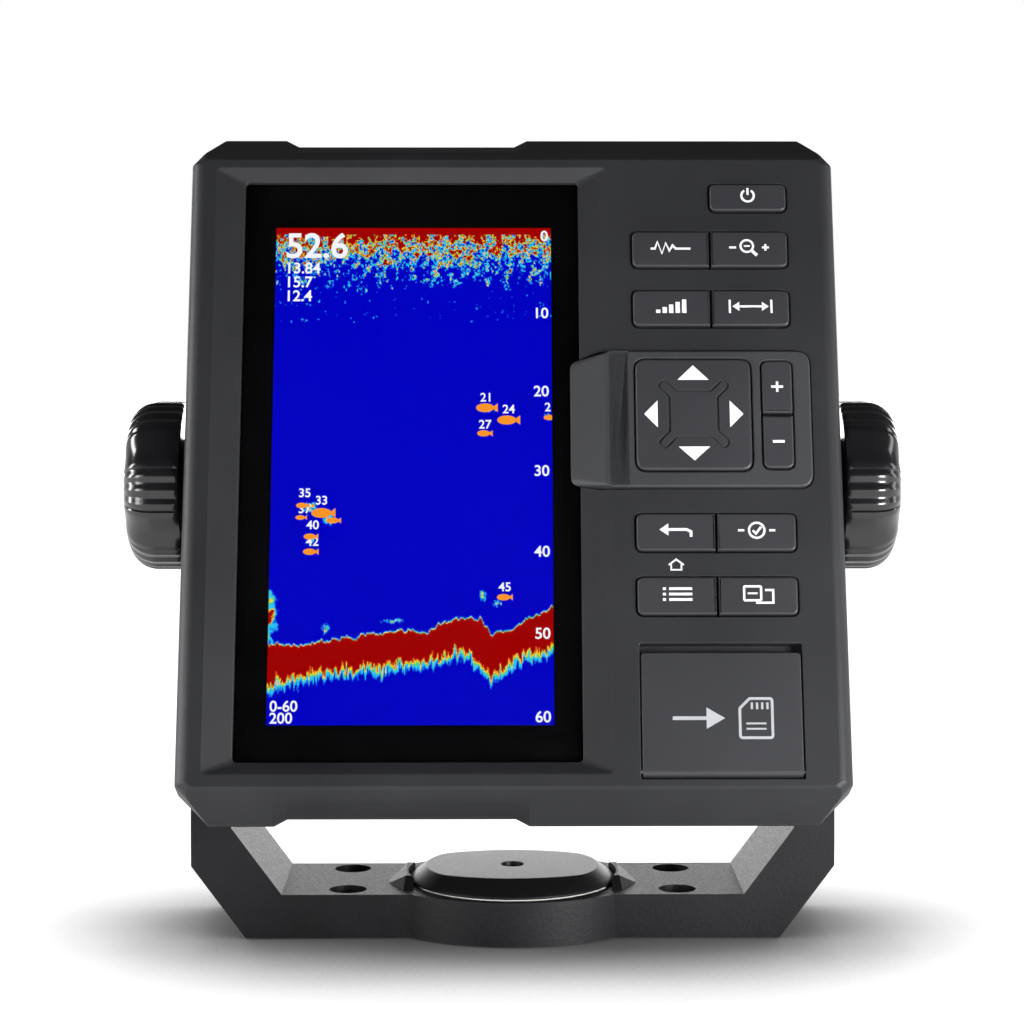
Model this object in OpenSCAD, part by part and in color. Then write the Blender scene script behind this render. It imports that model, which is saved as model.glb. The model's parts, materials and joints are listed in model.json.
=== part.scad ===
// Marine fish finder: a front-keyed display housing that tilts in a bail bracket,
// which turns on a small swivel base. Millimetres, +Z up, the screen faces -Y.
// The origin is on the swivel axis, at the underside of the base.

/* [Housing] */
// Width of the front face
face_w = 150; // [146:1:190]
// Height of the front face, inside its bevels
face_h = 148; // [146:1:190]
// How far the bevel stands out past the face at the top
bevel_top = 8.2; // [5:0.1:12]
// How far the bevel stands out past the face at the bottom
bevel_bottom = 7; // [5:0.1:12]
// Depth of the front bezel, from its face to its back rim
bezel_depth = 9; // [8.8:0.1:14]
// Thickness of the bezel's front wall
face_wall = 3.2; // [2.8:0.1:4]
// Thickness of the bezel's rim
rim_wall = 3; // [2:0.1:4]
// Radius of the bezel's upright front edges
edge_r = 3.5; // [1:0.5:6]
// Width cut off each corner of the bevel
corner_cut = 7; // [2:0.5:12]
// Depth of the long step in the top and bottom bevels
step_drop = 1.6; // [0.5:0.1:3]
// Depth of the rear case, from its flange's back to its rear wall
case_depth = 48.4; // [40:0.2:80]
// Thickness of the rear case's walls
case_wall = 2.5; // [2:0.1:4]
// Thickness of the rear case's flange
flange_t = 2; // [1.8:0.1:4]
// How much narrower than the face the rear case is on each side
case_inset = 12.5; // [11.5:0.5:16]
// How much the rear case narrows on each side towards the back
case_taper = 5.5; // [2:0.5:10]
// Thickness of the gasket between bezel and rear case
gasket_t = 0.6; // [0.4:0.1:1.2]

/* [Window] */
// Width of the window
window_w = 77.6; // [70:0.2:80]
// Height of the window
window_h = 136.8; // [110:0.2:138]
// Distance from the face's left edge to the window
window_left = 12.7; // [12:0.1:16]
// Height of the window's middle above the face's middle
window_rise = 0.4; // [-1:0.1:1]
// Depth of the sloped frame round the window
window_sink = 2.2; // [1.5:0.1:2.4]
// Width of the sloped frame at the sides
slope_side = 6.5; // [4:0.1:7]
// Width of the sloped frame at the top and bottom
slope_end = 2.9; // [2:0.1:3]
// Thickness of the window pane
pane_t = 1.6; // [1:0.1:2]
// How far the pane reaches behind the bezel on each side
pane_lap = 1.8; // [1:0.1:1.8]
// Width of the display panel
lcd_w = 72; // [60:0.5:73]
// Height of the display panel
lcd_h = 128; // [100:0.5:130]
// Thickness of the display panel
lcd_t = 3.3; // [2.5:0.1:3.3]

/* [Keys] */
// Width of one key of a pair
key_w = 17.7; // [12:0.1:17.8]
// Height of the paired keys
key_h = 8.6; // [6:0.1:9]
// Height of the power key
power_h = 6.6; // [5:0.1:8]
// How far the keys stand proud of the face
key_proud = 0.9; // [0.4:0.1:1.5]
// Travel of a key
key_travel = 0.7; // [0.4:0.1:0.8]
// Height of the power key above the face's middle
power_row = 64.1; // [62:0.1:66]
// Heights of the four rows of paired keys
key_rows = [51.3, 36.9, -16.3, -31]; // rows from the top
// Distance from the face's right edge to the right end of the keys
key_right = 11.4; // [10.5:0.1:13]

/* [Pad] */
// Side of the square four-way pad
pad_side = 26.3; // [20:0.1:27]
// Height of the pad's middle above the face's middle
pad_row = 11.1; // [9:0.1:12]
// Width of the plus and minus keys
side_key_w = 6.8; // [5:0.1:7]
// Height of the plus and minus keys
side_key_h = 12.4; // [9:0.1:12.6]
// Height of the raised plate round the pad
plate_proud = 1.2; // [0.6:0.1:2]
// Depth of the pocket that the plate sits in
plate_sunk = 0.8; // [0.5:0.1:1.2]
// How far the pad stands above its plate
pad_proud = 0.7; // [0.4:0.1:1.2]
// Angle that the pad rocks each way
pad_rock = 3; // [1:0.5:3]

/* [Card door] */
// Width of the card door
door_w = 35.6; // [28:0.1:36]
// Height of the card door, with its hinge
door_h = 28; // [22:0.1:28]
// Thickness of the card door
door_t = 2.2; // [1.8:0.1:2.6]
// Height of the finger gap above the door
finger_gap = 2.1; // [1.5:0.1:3]
// Radius of the hinge barrel
barrel_r = 1.6; // [1.3:0.1:1.8]
// Radius of the hinge pin
hinge_pin_r = 0.7; // [0.5:0.05:0.8]

/* [Sockets] */
// Outer radius of the cable sockets
socket_r = 9; // [8:0.1:10]
// Wall of the cable sockets
socket_wall = 1.5; // [1:0.1:2]
// How far the sockets stand out of the rear wall
socket_len = 10; // [8:0.5:14]
// Distance between the two sockets
socket_pitch = 30; // [26:0.5:40]
// Height of the sockets below the face's middle
socket_drop = 34; // [28:0.5:40]

/* [Bracket] */
// Height of the tilt axis above the surface, beyond half the face's height
pivot_rise = 30.5; // [28:0.5:50]
// Distance of the face in front of the tilt axis
face_out = 24; // [23:0.5:30]
// Distance of the face's middle below the tilt axis
face_down = 1.5; // [0:0.1:4]
// Angle that the housing leans back as it stands
lean = 19; // [6:1:40]
// Overall depth of the bracket's bar
bar_d = 35; // [30:0.5:40]
// Thickness of the bracket's bar
bar_t = 10.5; // [8:0.1:14]
// Thickness of the bracket's arms
arm_t = 9.3; // [7:0.1:12]
// Radius of the ears at the top of the arms
ear_r = 11.3; // [9:0.1:11.6]
// Height at which the arms become upright
elbow_z = 17.2; // [14:0.1:24]
// Slant of the bracket's lower corners from the horizontal
elbow_angle = 53.5; // [45:0.5:65]
// Spacing of the mounting holes across the bracket
hole_span_x = 77; // [70:0.5:90]
// Spacing of the mounting holes from front to back
hole_span_y = 23; // [16:0.5:24]
// Radius of the mounting holes
hole_r = 2.6; // [2:0.1:3]
// Radius of the countersunk mouths of the mounting holes
mouth_r = 4.4; // [3.6:0.1:5]

/* [Swivel] */
// How far the bracket's hub reaches in front of and behind the swivel axis
hub_reach = 26.9; // [26:0.1:30]
// Radius of the hub's front and back faces
hub_face_r = 34.3; // [30:0.1:45]
// Radius of the swivel disc at its top
disc_r = 20.6; // [18:0.1:22]
// Half the depth of the swivel disc at its top
disc_half_d = 16.5; // [14:0.1:20]
// Radius of the swivel disc at its foot
disc_foot_r = 24.4; // [22:0.1:25]
// Height of the disc's top above the surface
disc_z = 14; // [13:0.1:18]
// Radius of the spindle that the hub turns on
spindle_r = 14; // [10:0.1:16]
// Radius of the flange under the hub
base_r = 21; // [18:0.5:23]
// Thickness of the flange under the hub
base_t = 3.6; // [3:0.1:5]
// Radius of the hole through the middle
centre_hole_r = 2.6; // [2:0.1:3.5]

/* [Knobs] */
// Radius of the knobs
knob_r = 20; // [16:0.5:22]
// Thickness of the knobs
knob_t = 13.4; // [10:0.2:18]
// Radius of the rounding at the knobs' outer edge
knob_round = 7; // [3:0.5:9]
// Number of smooth lobes round a knob
knob_lobes = 6; // [4:1:9]
// Radius of the threaded stud
stud_r = 3; // [2.5:0.1:3.5]
// Lead of the stud's thread for one turn
stud_lead = 1; // [0.8:0.05:1.25]
// Thickness of the washer between knob and arm
washer_t = 1.5; // [1:0.1:3]

/* [Clearances] */
// Gap round the keys and the pad
key_gap = 0.3; // [0.2:0.05:0.5]
// Gap between flat faces that slide on each other
slide_gap = 0.15; // [0.1:0.05:0.3]
// Radial running clearance of pins and spindles
run_gap = 0.06; // [0.03:0.01:0.1]
// Gap between parts that must not touch
free_gap = 0.4; // [0.3:0.05:0.6]

/* [Hidden] */
$fn = 64;
hull_fn = 32;          // facets of rounds inside a hull
eps = 0.01;
black = [0.09, 0.09, 0.1];
charcoal = [0.2, 0.2, 0.21];
grey = [0.34, 0.34, 0.36];
board_green = [0.08, 0.28, 0.16];
steel = [0.7, 0.71, 0.73];
rubber = [0.13, 0.13, 0.14];

pivot_z = face_h/2 + pivot_rise;              // height of the tilt axis above the surface

// Depths inside the housing, measured back from the face
rim_back = bezel_depth;                       // back of the bezel's rim
flange_front = rim_back + gasket_t;           // front of the rear case's flange
flange_back = flange_front + flange_t;
case_back = flange_back + case_depth;         // outside of the rear wall
pane_seal_t = 0.4;                            // bonding gasket between bezel and pane
pane_front = face_wall + pane_seal_t;
pane_back = pane_front + pane_t;
lcd_front = pane_back + 0.1;
lcd_back = lcd_front + lcd_t;
frame_t = 0.8;                                // sheet thickness of the display's frame
ear_front = pane_back + 1.2;                  // depth of the frame's ears
ear_back = ear_front + frame_t;
key_flange_front = face_wall + 0.1;
key_flange_t = 1;
key_lip = 0.8;                                // how far a key's flange reaches past its cap
mat_front = key_flange_front + key_flange_t + key_travel + 0.1;
mat_t = 1;
dome_t = 0.4;
keypad_board_front = mat_front + mat_t + dome_t;
board_t = 1.6;
keypad_board_back = keypad_board_front + board_t;
main_board_front = case_back - case_wall - 13.5;
main_board_back = main_board_front + board_t;

// The window and what lies behind it, left to right on the face
window_u = -face_w/2 + window_left + window_w/2;
window_v = window_rise;
window_right = window_u + window_w/2;
slope_right = window_right + slope_side;
lcd_u = window_u + 0.6;
lcd_v = window_v - 2.4;

// The keys
keys_right = face_w/2 - key_right;
key_split = 0.5;
right_key_u = keys_right - key_w/2;
left_key_u = right_key_u - key_w - key_split;
keys_left = left_key_u - key_w/2;
side_key_u = keys_right - side_key_w/2;
side_key_pitch = side_key_h + 0.6;
pad_to_side_keys = 2.6;                       // from the pad to the plus and minus keys
pad_u = side_key_u - side_key_w/2 - pad_to_side_keys - pad_side/2;
controls_left = min(keys_left, pad_u - pad_side/2);
plate_margin = 4.3;                           // from the plus and minus keys to the plate's edge
plate_left = slope_right - 0.4;
plate_right = keys_right + plate_margin;
plate_h = pad_side + 6;
plate_top = pad_row - 0.8 + plate_h/2;
plate_bottom = plate_top - plate_h;
wing_reach = 8.4;                             // how far the plate's wing reaches over the window
wing_h = plate_h - 3;
wing_floor = face_wall - 0.6;                 // depth of the wing's underside
pad_pivot_depth = 1.2;
pad_back = 3;
ball_r = 2.4;
stem_r = 1.5;
dome_r = 3;
dome_reach = 9.2;                             // of the pad's four domes from its middle

// The card door and the well behind it
door_u = keys_right - door_w/2 + 0.3;
door_bottom = -face_h/2 + 2.2;
hinge_v = door_bottom + barrel_r;
hinge_d = barrel_r;
door_top = door_bottom + door_h;
door_gap = 0.35;
pocket_d = 2*barrel_r + 0.3;                  // depth of the pocket round the door
well_w = 22;
well_h = 16;
well_wall = 1.5;
well_d = 14;                                  // depth of the card well's floor
well_v = (door_top + door_bottom)/2 + 2.5;
card_w = 12;
card_t = 1.6;
seal_t = pocket_d - door_t - 0.2;

// Posts and screws
post_r = 3;
small_post_r = 2.2;
screw_r = 1.25;
small_screw_r = 0.9;
head_r = 2.5;
small_head_r = 1.8;
head_t = 1.3;
post_u = face_w/2 - 6.8;
case_screw_rows = [-67*face_h/148, 0, 67*face_h/148];
frame_post_right = window_right + pane_lap + 3.3;
frame_post_rows = [-34, 34];
frame_post_far_rows = [-60, 60];
post_col = keys_right - key_w - key_split/2;
key_reach = key_h/2 + key_lip;
keypad_posts = [[keys_left + 6, power_row - 2],
                [post_col, (key_rows[1] - key_reach + pad_row + pad_side/2)/2],
                [post_col, (pad_row - pad_side/2 + key_rows[2] + key_reach)/2],
                [post_col, key_rows[3] - key_reach - 2.8]];
main_post_u = face_w/2 - case_inset - case_taper - 11;
main_post_rows = [-44, 50];

// The rear case's box
case_half_w = face_w/2 - case_inset;
case_top = face_h/2 - 2;
case_bottom = -face_h/2 + 4;
case_lift = 10;                               // how much the box's top and bottom draw in at the back
case_round = 7;
socket_u = -8;

// The bracket
arm_outer = face_w/2 - 0.5;
arm_inner = arm_outer - arm_t;
ear_hole_r = 5 + run_gap;
trunnion_r = 5;
bushing_r = 6;
boss_r = 9;
boss_face = arm_inner - slide_gap;            // outer face of the housing's side bosses
bar_clear = 0.3;                              // height of the bracket's underside above the surface
hub_top = bar_t;
lug_h = 2.2;
rise = elbow_z - bar_clear;
outer_foot = arm_outer - rise/tan(elbow_angle);
inner_cut = 11.6;                             // width of the slant inside the lower corners
inner_foot = arm_inner - inner_cut;
inner_rise = bar_t + inner_cut*tan(elbow_angle);
knob_face = arm_outer + washer_t + 2*slide_gap;
stud_sunk = 7;                                // length of stud moulded into the knob
stud_in = 11;                                 // length of stud held in the bushing

// Puts the housing's face frame (X across, Y back from the face, Z up the face) into the part
module in_housing() {
    translate([0, 0, pivot_z])
        rotate([-lean, 0, 0])
            translate([0, -face_out, -face_down])
                children();
}

// A rectangle with round corners, centred
module round_rect(w, h, r) {
    square([w - 2*r, h], center = true);
    square([w, h - 2*r], center = true);
    for (sx = [-1, 1], sy = [-1, 1])
        translate([sx*(w/2 - r), sy*(h/2 - r)])
            circle(r = r);
}

// A slab of the given outline, from depth d0 to depth d1
module slab(u, v, w, h, r, d0, d1) {
    translate([u, d1, v])
        rotate([90, 0, 0])
            linear_extrude(d1 - d0)
                round_rect(w, h, r);
}

// A square-cornered slab
module block(u, v, w, h, d0, d1) {
    translate([u - w/2, d0, v - h/2])
        cube([w, d1 - d0, h]);
}

// A disc or a peg along the depth
module peg(u, v, r, d0, d1) {
    translate([u, d1, v])
        rotate([90, 0, 0])
            cylinder(r = r, h = d1 - d0);
}

// The outline at the bevel's back, drawn inwards by inset
module bevel_outline(inset) {
    hw = face_w/2 - inset;
    hf = face_h/2 - inset*0.4;
    top = face_h/2 + bevel_top - inset;
    low = -face_h/2 - bevel_bottom + inset;
    cut = corner_cut - inset*0.4;
    polygon([[-hw, -hf], [-hw + cut, low], [hw - cut, low], [hw, -hf],
             [hw, hf], [hw - cut, top], [-hw + cut, top], [-hw, hf]]);
}

// A plate of the bevel's outline, from depth d0 to depth d1
module outline_plate(inset, d0, d1) {
    translate([0, d1, 0])
        rotate([90, 0, 0])
            linear_extrude(d1 - d0)
                bevel_outline(inset);
}

// The shallow step along the top and bottom bevels
module bevel_steps(d1) {
    step_u = -face_w/2 + 24.5;
    step_w = 51;
    ramp = 3;
    for (side = [-1, 1]) {
        out = side > 0 ? face_h/2 + bevel_top : face_h/2 + bevel_bottom;
        translate([0, 0, side*(out - step_drop)])
            scale([1, 1, side])
                rotate([90, 0, 0])
                    translate([0, 0, -d1])
                        linear_extrude(d1 + 1)
                            polygon([[step_u, 0], [step_u + step_w, 0],
                                     [step_u + step_w + ramp, step_drop + eps],
                                     [step_u + step_w + ramp, step_drop + 4], [step_u - ramp, step_drop + 4],
                                     [step_u - ramp, step_drop + eps]]);
    }
}

// The raised plate's outline with its wing, grown by grow
module plate_outline(grow) {
    w = plate_right - plate_left;
    translate([(plate_left + plate_right)/2, (plate_top + plate_bottom)/2])
        round_rect(w + 2*grow, plate_h + 2*grow, 3 + grow);
}

module wing_outline(grow) {
    mid = (plate_top + plate_bottom)/2;
    near = plate_left + 4;
    far = plate_left - wing_reach - grow;
    half = wing_h/2 + grow;
    cut = 3.4;
    translate([0, mid])
        polygon([[near, -half], [far + cut, -half], [far, -half + cut], [far, half - cut],
                 [far + cut, half], [near, half]]);
}

module plate_shape(grow, front, back, wing_back) {
    translate([0, back, 0])
        rotate([90, 0, 0])
            linear_extrude(back - front)
                plate_outline(grow);
    translate([0, wing_back, 0])
        rotate([90, 0, 0])
            linear_extrude(wing_back - front)
                wing_outline(grow);
}

// Openings for the keys through the face
module key_openings(gap, d0, d1) {
    slab(right_key_u, power_row, key_w + 2*gap, power_h + 2*gap, 1.4 + gap, d0, d1);
    for (row = key_rows)
        slab((keys_left + keys_right)/2, row, keys_right - keys_left + 2*gap, key_h + 2*gap, 1.4 + gap,
             d0, d1);
}

module pad_openings(gap, d0, d1) {
    slab(pad_u, pad_row, pad_side + 2*gap, pad_side + 2*gap, 2.6 + gap, d0, d1);
    slab(side_key_u, pad_row, side_key_w + 2*gap, 2*side_key_pitch - 0.6 + 2*gap, 1.4 + gap, d0, d1);
}

module front_bezel() {
    color(charcoal)
    in_housing()
    difference() {
        union() {
            difference() {
                hull() {
                    for (side = [-1, 1])
                        translate([side*(face_w/2 - edge_r), edge_r, -face_h/2])
                            cylinder(r = edge_r, h = face_h, $fn = hull_fn);
                    outline_plate(0, bezel_depth - 0.6, bezel_depth);
                }
                bevel_steps(bezel_depth);
                hull() {
                    block(0, 0, face_w - 2*rim_wall - 2, face_h - 2*rim_wall, face_wall, face_wall + 1);
                    outline_plate(rim_wall, bezel_depth - 0.6, bezel_depth + eps);
                }
            }
            for (side = [-1, 1], row = case_screw_rows)
                peg(side*post_u, row, post_r, face_wall - eps, rim_back);
            for (row = frame_post_rows)
                peg(-post_u, row, small_post_r, face_wall - eps, ear_front);
            for (row = frame_post_far_rows)
                peg(frame_post_right, row, small_post_r, face_wall - eps, ear_front);
            for (p = keypad_posts)
                peg(p[0], p[1], small_post_r, face_wall - eps, keypad_board_front);
            block(door_u, (door_bottom + door_top)/2 + 1, door_w + 5, door_h + 5, face_wall - eps,
                  pocket_d + 1.4);
            block(door_u, well_v, well_w + 2*well_wall, well_h + 2*well_wall, pocket_d, well_d + well_wall);
        }
        // window with its sloped frame
        hull() {
            block(window_u, window_v, window_w + 2*slope_side, window_h + 2*slope_end, -1, 0);
            block(window_u, window_v, window_w, window_h, window_sink, window_sink + eps);
        }
        block(window_u, window_v, window_w, window_h, 0, face_wall + 1);
        // pocket for the raised plate
        plate_shape(slide_gap, -1, plate_sunk, wing_floor + slide_gap);
        key_openings(key_gap, -1, face_wall + 1);
        pad_openings(key_gap + 0.5, -1, face_wall + 1);
        // pocket for the card door, its finger gap and the well
        block(door_u, (door_bottom + door_top + finger_gap - door_gap)/2, door_w + 2*door_gap,
              door_h + finger_gap + door_gap, -1, pocket_d);
        block(door_u, well_v, well_w, well_h, 0, well_d);
        block(door_u, well_v, card_w, card_t, well_d - 1, well_d + well_wall + 1);
        // holes for the hinge pin and the screws
        translate([door_u - door_w/2 - 2, hinge_d, hinge_v])
            rotate([0, 90, 0])
                cylinder(r = hinge_pin_r, h = door_w + 4);
        for (side = [-1, 1], row = case_screw_rows)
            peg(side*post_u, row, screw_r, 4, rim_back + 1);
        for (row = frame_post_rows)
            peg(-post_u, row, small_screw_r, 4, ear_back);
        for (row = frame_post_far_rows)
            peg(frame_post_right, row, small_screw_r, 4, ear_back);
        for (p = keypad_posts)
            peg(p[0], p[1], small_screw_r, 4, keypad_board_front + 1);
    }
}

// A tapering box with round edges, between the flange and the rear wall
module case_box(inset, d0, d1) {
    hull() {
        for (end = [0, 1], sx = [-1, 1], top = [0, 1]) {
            d = end == 0 ? d0 : d1 - 2.5;
            draw = case_lift*(d - flange_back)/case_depth;
            half = case_half_w - case_taper*(d - flange_back)/case_depth;
            v = top == 1 ? case_top - draw - case_round : case_bottom + draw + case_round;
            translate([sx*(half - case_round), d, v])
                rotate([-90, 0, 0])
                    cylinder(r = case_round - inset, h = 0.5, $fn = hull_fn);
        }
        for (sx = [-1, 1], top = [0, 1]) {
            half = case_half_w - case_taper;
            v = top == 1 ? case_top - case_lift - case_round : case_bottom + case_lift + case_round;
            translate([sx*(half - case_round), d1 - 0.5, v])
                rotate([-90, 0, 0])
                    cylinder(r = case_round - inset - 1.6, h = 0.5, $fn = hull_fn);
        }
    }
}

module rear_case() {
    color(charcoal)
    in_housing()
    difference() {
        union() {
            difference() {
                union() {
                    outline_plate(0, flange_front, flange_back);
                    case_box(0, flange_back - 0.5, case_back);
                }
                case_box(case_wall, flange_front - 1, case_back - case_wall);
                bevel_steps(flange_back);
            }
            for (side = [-1, 1])
                translate([side*boss_face, face_out, face_down])
                    rotate([0, -side*90, 0])
                        cylinder(r = boss_r, h = boss_face - case_half_w + 13);
            for (side = [-1, 1], row = main_post_rows)
                peg(side*main_post_u, row, post_r, main_board_back, case_back - 1);
            for (side = [-1, 1])
                peg(socket_u + side*socket_pitch/2, -socket_drop, socket_r + 2.4, case_back - case_wall - 1,
                    case_back + 0.8);
        }
        for (side = [-1, 1])
            translate([side*(boss_face + 1), face_out, face_down])
                rotate([0, -side*90, 0])
                    cylinder(r = bushing_r, h = boss_face - case_half_w + 11.5);
        for (side = [-1, 1], row = case_screw_rows) {
            peg(side*post_u, row, screw_r + 0.2, flange_front - 1, flange_back + 1);
            peg(side*post_u, row, head_r + 0.2, flange_back - head_t, flange_back + 1);
        }
        for (side = [-1, 1], row = main_post_rows)
            peg(side*main_post_u, row, screw_r, main_board_back - 1, main_board_back + 8);
        for (side = [-1, 1])
            peg(socket_u + side*socket_pitch/2, -socket_drop, socket_r, case_back - case_wall - 4,
                case_back + 3);
        peg(38, -socket_drop, 3, case_back - case_wall - 1, case_back + 1);
    }
}

module case_gasket() {
    color(rubber)
    in_housing()
    difference() {
        outline_plate(1.9, rim_back, flange_front);
        outline_plate(rim_wall, rim_back - 1, flange_front + 1);
    }
}

module display_window() {
    color([0.02, 0.02, 0.03])
    in_housing()
    slab(window_u, window_v, window_w + 2*pane_lap, window_h + 2*pane_lap, 1.5, pane_front, pane_back);
}

module window_gasket() {
    color(rubber)
    in_housing()
    difference() {
        block(window_u, window_v, window_w + 2*pane_lap, window_h + 2*pane_lap, face_wall, pane_front);
        block(window_u, window_v, window_w + 0.2, window_h + 0.2, face_wall - 1, pane_front + 1);
    }
}

module lcd_panel() {
    color([0.05, 0.1, 0.6])
    in_housing()
    block(lcd_u, lcd_v, lcd_w, lcd_h, lcd_front, lcd_back);
}

module lcd_frame() {
    left = -post_u - small_post_r;
    right = frame_post_right + small_post_r;
    color(steel)
    in_housing()
    difference() {
        union() {
            block(lcd_u, lcd_v, lcd_w + 2*frame_t + 0.2, lcd_h + 2*frame_t + 0.2, lcd_front + 0.4,
                  lcd_back + 0.1 + frame_t);
            for (row = frame_post_rows)
                block((left + lcd_u)/2, row, lcd_u - left, 6, ear_front, ear_back);
            for (row = frame_post_far_rows)
                block((right + lcd_u)/2, row, right - lcd_u, 6, ear_front, ear_back);
        }
        block(lcd_u, lcd_v, lcd_w + 0.2, lcd_h + 0.2, lcd_front - 1, lcd_back + 0.1);
        block(lcd_u, ribbon_v, 22, 4, lcd_back - 1, lcd_back + 2);
        for (row = frame_post_rows)
            peg(-post_u, row, small_screw_r + 0.1, ear_front - 1, ear_back + 1);
        for (row = frame_post_far_rows)
            peg(frame_post_right, row, small_screw_r + 0.1, ear_front - 1, ear_back + 1);
    }
}

// The flat cables run straight back to the main board
ribbon_v = -46;
ribbon_t = 0.3;
module lcd_ribbon() {
    color([0.75, 0.45, 0.15])
    in_housing() {
        block(lcd_u, ribbon_v, 20, ribbon_t, lcd_back, main_board_front);
        block(lcd_u, ribbon_v + 2, 20, 4, main_board_front - 1.2, main_board_front);
    }
}

module keypad_ribbon() {
    color([0.75, 0.45, 0.15])
    in_housing() {
        block(right_key_u - 12, -24, 14, ribbon_t, keypad_board_back, main_board_front);
        block(right_key_u - 12, -22, 14, 4, main_board_front - 1.2, main_board_front);
    }
}

module main_board() {
    w = 2*(main_post_u + 5);
    low = main_post_rows[0] - 5;
    high = main_post_rows[1] + 5;
    color(board_green)
    in_housing()
    difference() {
        slab(0, (low + high)/2, w, high - low, 2, main_board_front, main_board_back);
        for (side = [-1, 1], row = main_post_rows)
            peg(side*main_post_u, row, screw_r + 0.15, main_board_front - 1, main_board_back + 1);
    }
}

// Chips, coils and capacitors on the front of the main board
module main_board_parts() {
    front = main_board_front;
    color([0.12, 0.12, 0.13])
    in_housing() {
        block(-6, 22, 18, 18, front - 1.6, front);
        for (i = [0, 1])
            block(16, 15 + 14*i, 8, 11, front - 1.1, front);
        block(-34, -26, 20, 18, front - 13, front);
        block(-10, -22, 12, 12, front - 6, front);
        for (i = [0:2])
            peg(-38 + 11*i, 2, 4, front - 9, front);
        block(-32, 30, 14, 10, front - 2.2, front);
    }
}

module buzzer() {
    color(black)
    in_housing()
    difference() {
        peg(32, 30, 6, main_board_front - 6.5, main_board_front);
        peg(32, 30, 1, main_board_front - 8, main_board_front - 4);
    }
}

module keypad_board() {
    low = keypad_posts[3][1] - 3.2;
    high = power_row + power_h/2 + 1;
    left = controls_left - 2.5;
    right = keys_right + 0.9;
    color(board_green)
    in_housing()
    difference() {
        slab((left + right)/2, (low + high)/2, right - left, high - low, 1, keypad_board_front,
             keypad_board_back);
        for (p = keypad_posts)
            peg(p[0], p[1], small_screw_r + 0.1, keypad_board_front - 1, keypad_board_back + 1);
    }
}

// One dome under every key, and four under the pad
module dome_switches() {
    color(steel)
    in_housing() {
        peg(right_key_u, power_row, dome_r, keypad_board_front - dome_t + 0.1, keypad_board_front);
        for (row = key_rows, u = [left_key_u, right_key_u])
            peg(u, row, dome_r, keypad_board_front - dome_t + 0.1, keypad_board_front);
        for (side = [-1, 1])
            peg(side_key_u, pad_row + side*side_key_pitch/2, dome_r - 0.3, keypad_board_front - dome_t + 0.1,
                keypad_board_front);
        for (a = [0:90:270])
            peg(pad_u + dome_reach*cos(a), pad_row + dome_reach*sin(a), dome_r,
                keypad_board_front - dome_t + 0.1,
                keypad_board_front);
    }
}

module keypad_mat() {
    low = keypad_posts[3][1] - 3.2;
    high = power_row + power_h/2 + 1;
    left = controls_left - 2.5;
    right = keys_right + 0.9;
    color(rubber)
    in_housing()
    difference() {
        slab((left + right)/2, (low + high)/2, right - left, high - low, 1, mat_front, mat_front + mat_t);
        for (p = keypad_posts)
            peg(p[0], p[1], small_post_r + 0.2, mat_front - 1, mat_front + mat_t + 1);
        peg(pad_u, pad_row, stem_r + 1.6, mat_front - 1, mat_front + mat_t + 1);
    }
}

module card_socket() {
    color(steel)
    in_housing()
    difference() {
        block(door_u, well_v, card_w + 2.6, card_t + 1.8, well_d + well_wall, well_d + well_wall + 15);
        block(door_u, well_v, card_w - 0.6, card_t - 0.4, well_d, well_d + well_wall + 13);
    }
}

module breather_vent() {
    color(black)
    in_housing() {
        peg(38, -socket_drop, 3, case_back - case_wall, case_back);
        peg(38, -socket_drop, 5.2, case_back, case_back + 1.6);
    }
}

// A shrouded cable socket that stands out of the rear wall
module socket_body(u, pins, ring_r) {
    back = case_back + socket_len;
    difference() {
        union() {
            peg(u, -socket_drop, socket_r, main_board_back + 2, back);
            peg(u, -socket_drop, socket_r + 2, case_back + 0.8, case_back + 2.4);
        }
        peg(u, -socket_drop, socket_r - socket_wall, case_back - 1, back + 1);
        for (i = [0:pins - 1])
            peg(u + ring_r*cos(45 + 360*i/pins), -socket_drop + ring_r*sin(45 + 360*i/pins), 0.8,
                main_board_back, case_back);
    }
    // keyway rib inside the shroud
    block(u, -socket_drop + socket_r - socket_wall - 0.4, 1.6, 1, case_back - 1, back - 1);
}

module socket_pins(u, pins, ring_r) {
    for (i = [0:pins - 1])
        peg(u + ring_r*cos(45 + 360*i/pins), -socket_drop + ring_r*sin(45 + 360*i/pins), 0.8,
            main_board_back, case_back + socket_len - 4.6);
}

power_pin_count = 4;
sonar_pin_count = 6;
power_ring = 3.2;
sonar_ring = 3.8;
module power_socket() {
    color(black) in_housing() socket_body(socket_u - socket_pitch/2, power_pin_count, power_ring);
}
module power_pins() {
    color("gold") in_housing() socket_pins(socket_u - socket_pitch/2, power_pin_count, power_ring);
}
module sonar_socket() {
    color(black) in_housing() socket_body(socket_u + socket_pitch/2, sonar_pin_count, sonar_ring);
}
module sonar_pins() {
    color("gold") in_housing() socket_pins(socket_u + socket_pitch/2, sonar_pin_count, sonar_ring);
}

// A pan-head screw along the depth, with its head at the back
module screw(u, v, r, hr, ht, tip, head_at) {
    difference() {
        union() {
            peg(u, v, r, tip, head_at);
            peg(u, v, hr, head_at, head_at + ht);
        }
        for (turn = [0, 90])
            translate([u, head_at + ht, v])
                rotate([0, turn, 0])
                    cube([hr*1.1, ht, 0.5], center = true);
    }
}

module case_screws() {
    color(steel)
    in_housing()
    for (side = [-1, 1], row = case_screw_rows)
        screw(side*post_u, row, screw_r, head_r, head_t, 4.4, flange_back - head_t);
}

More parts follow.
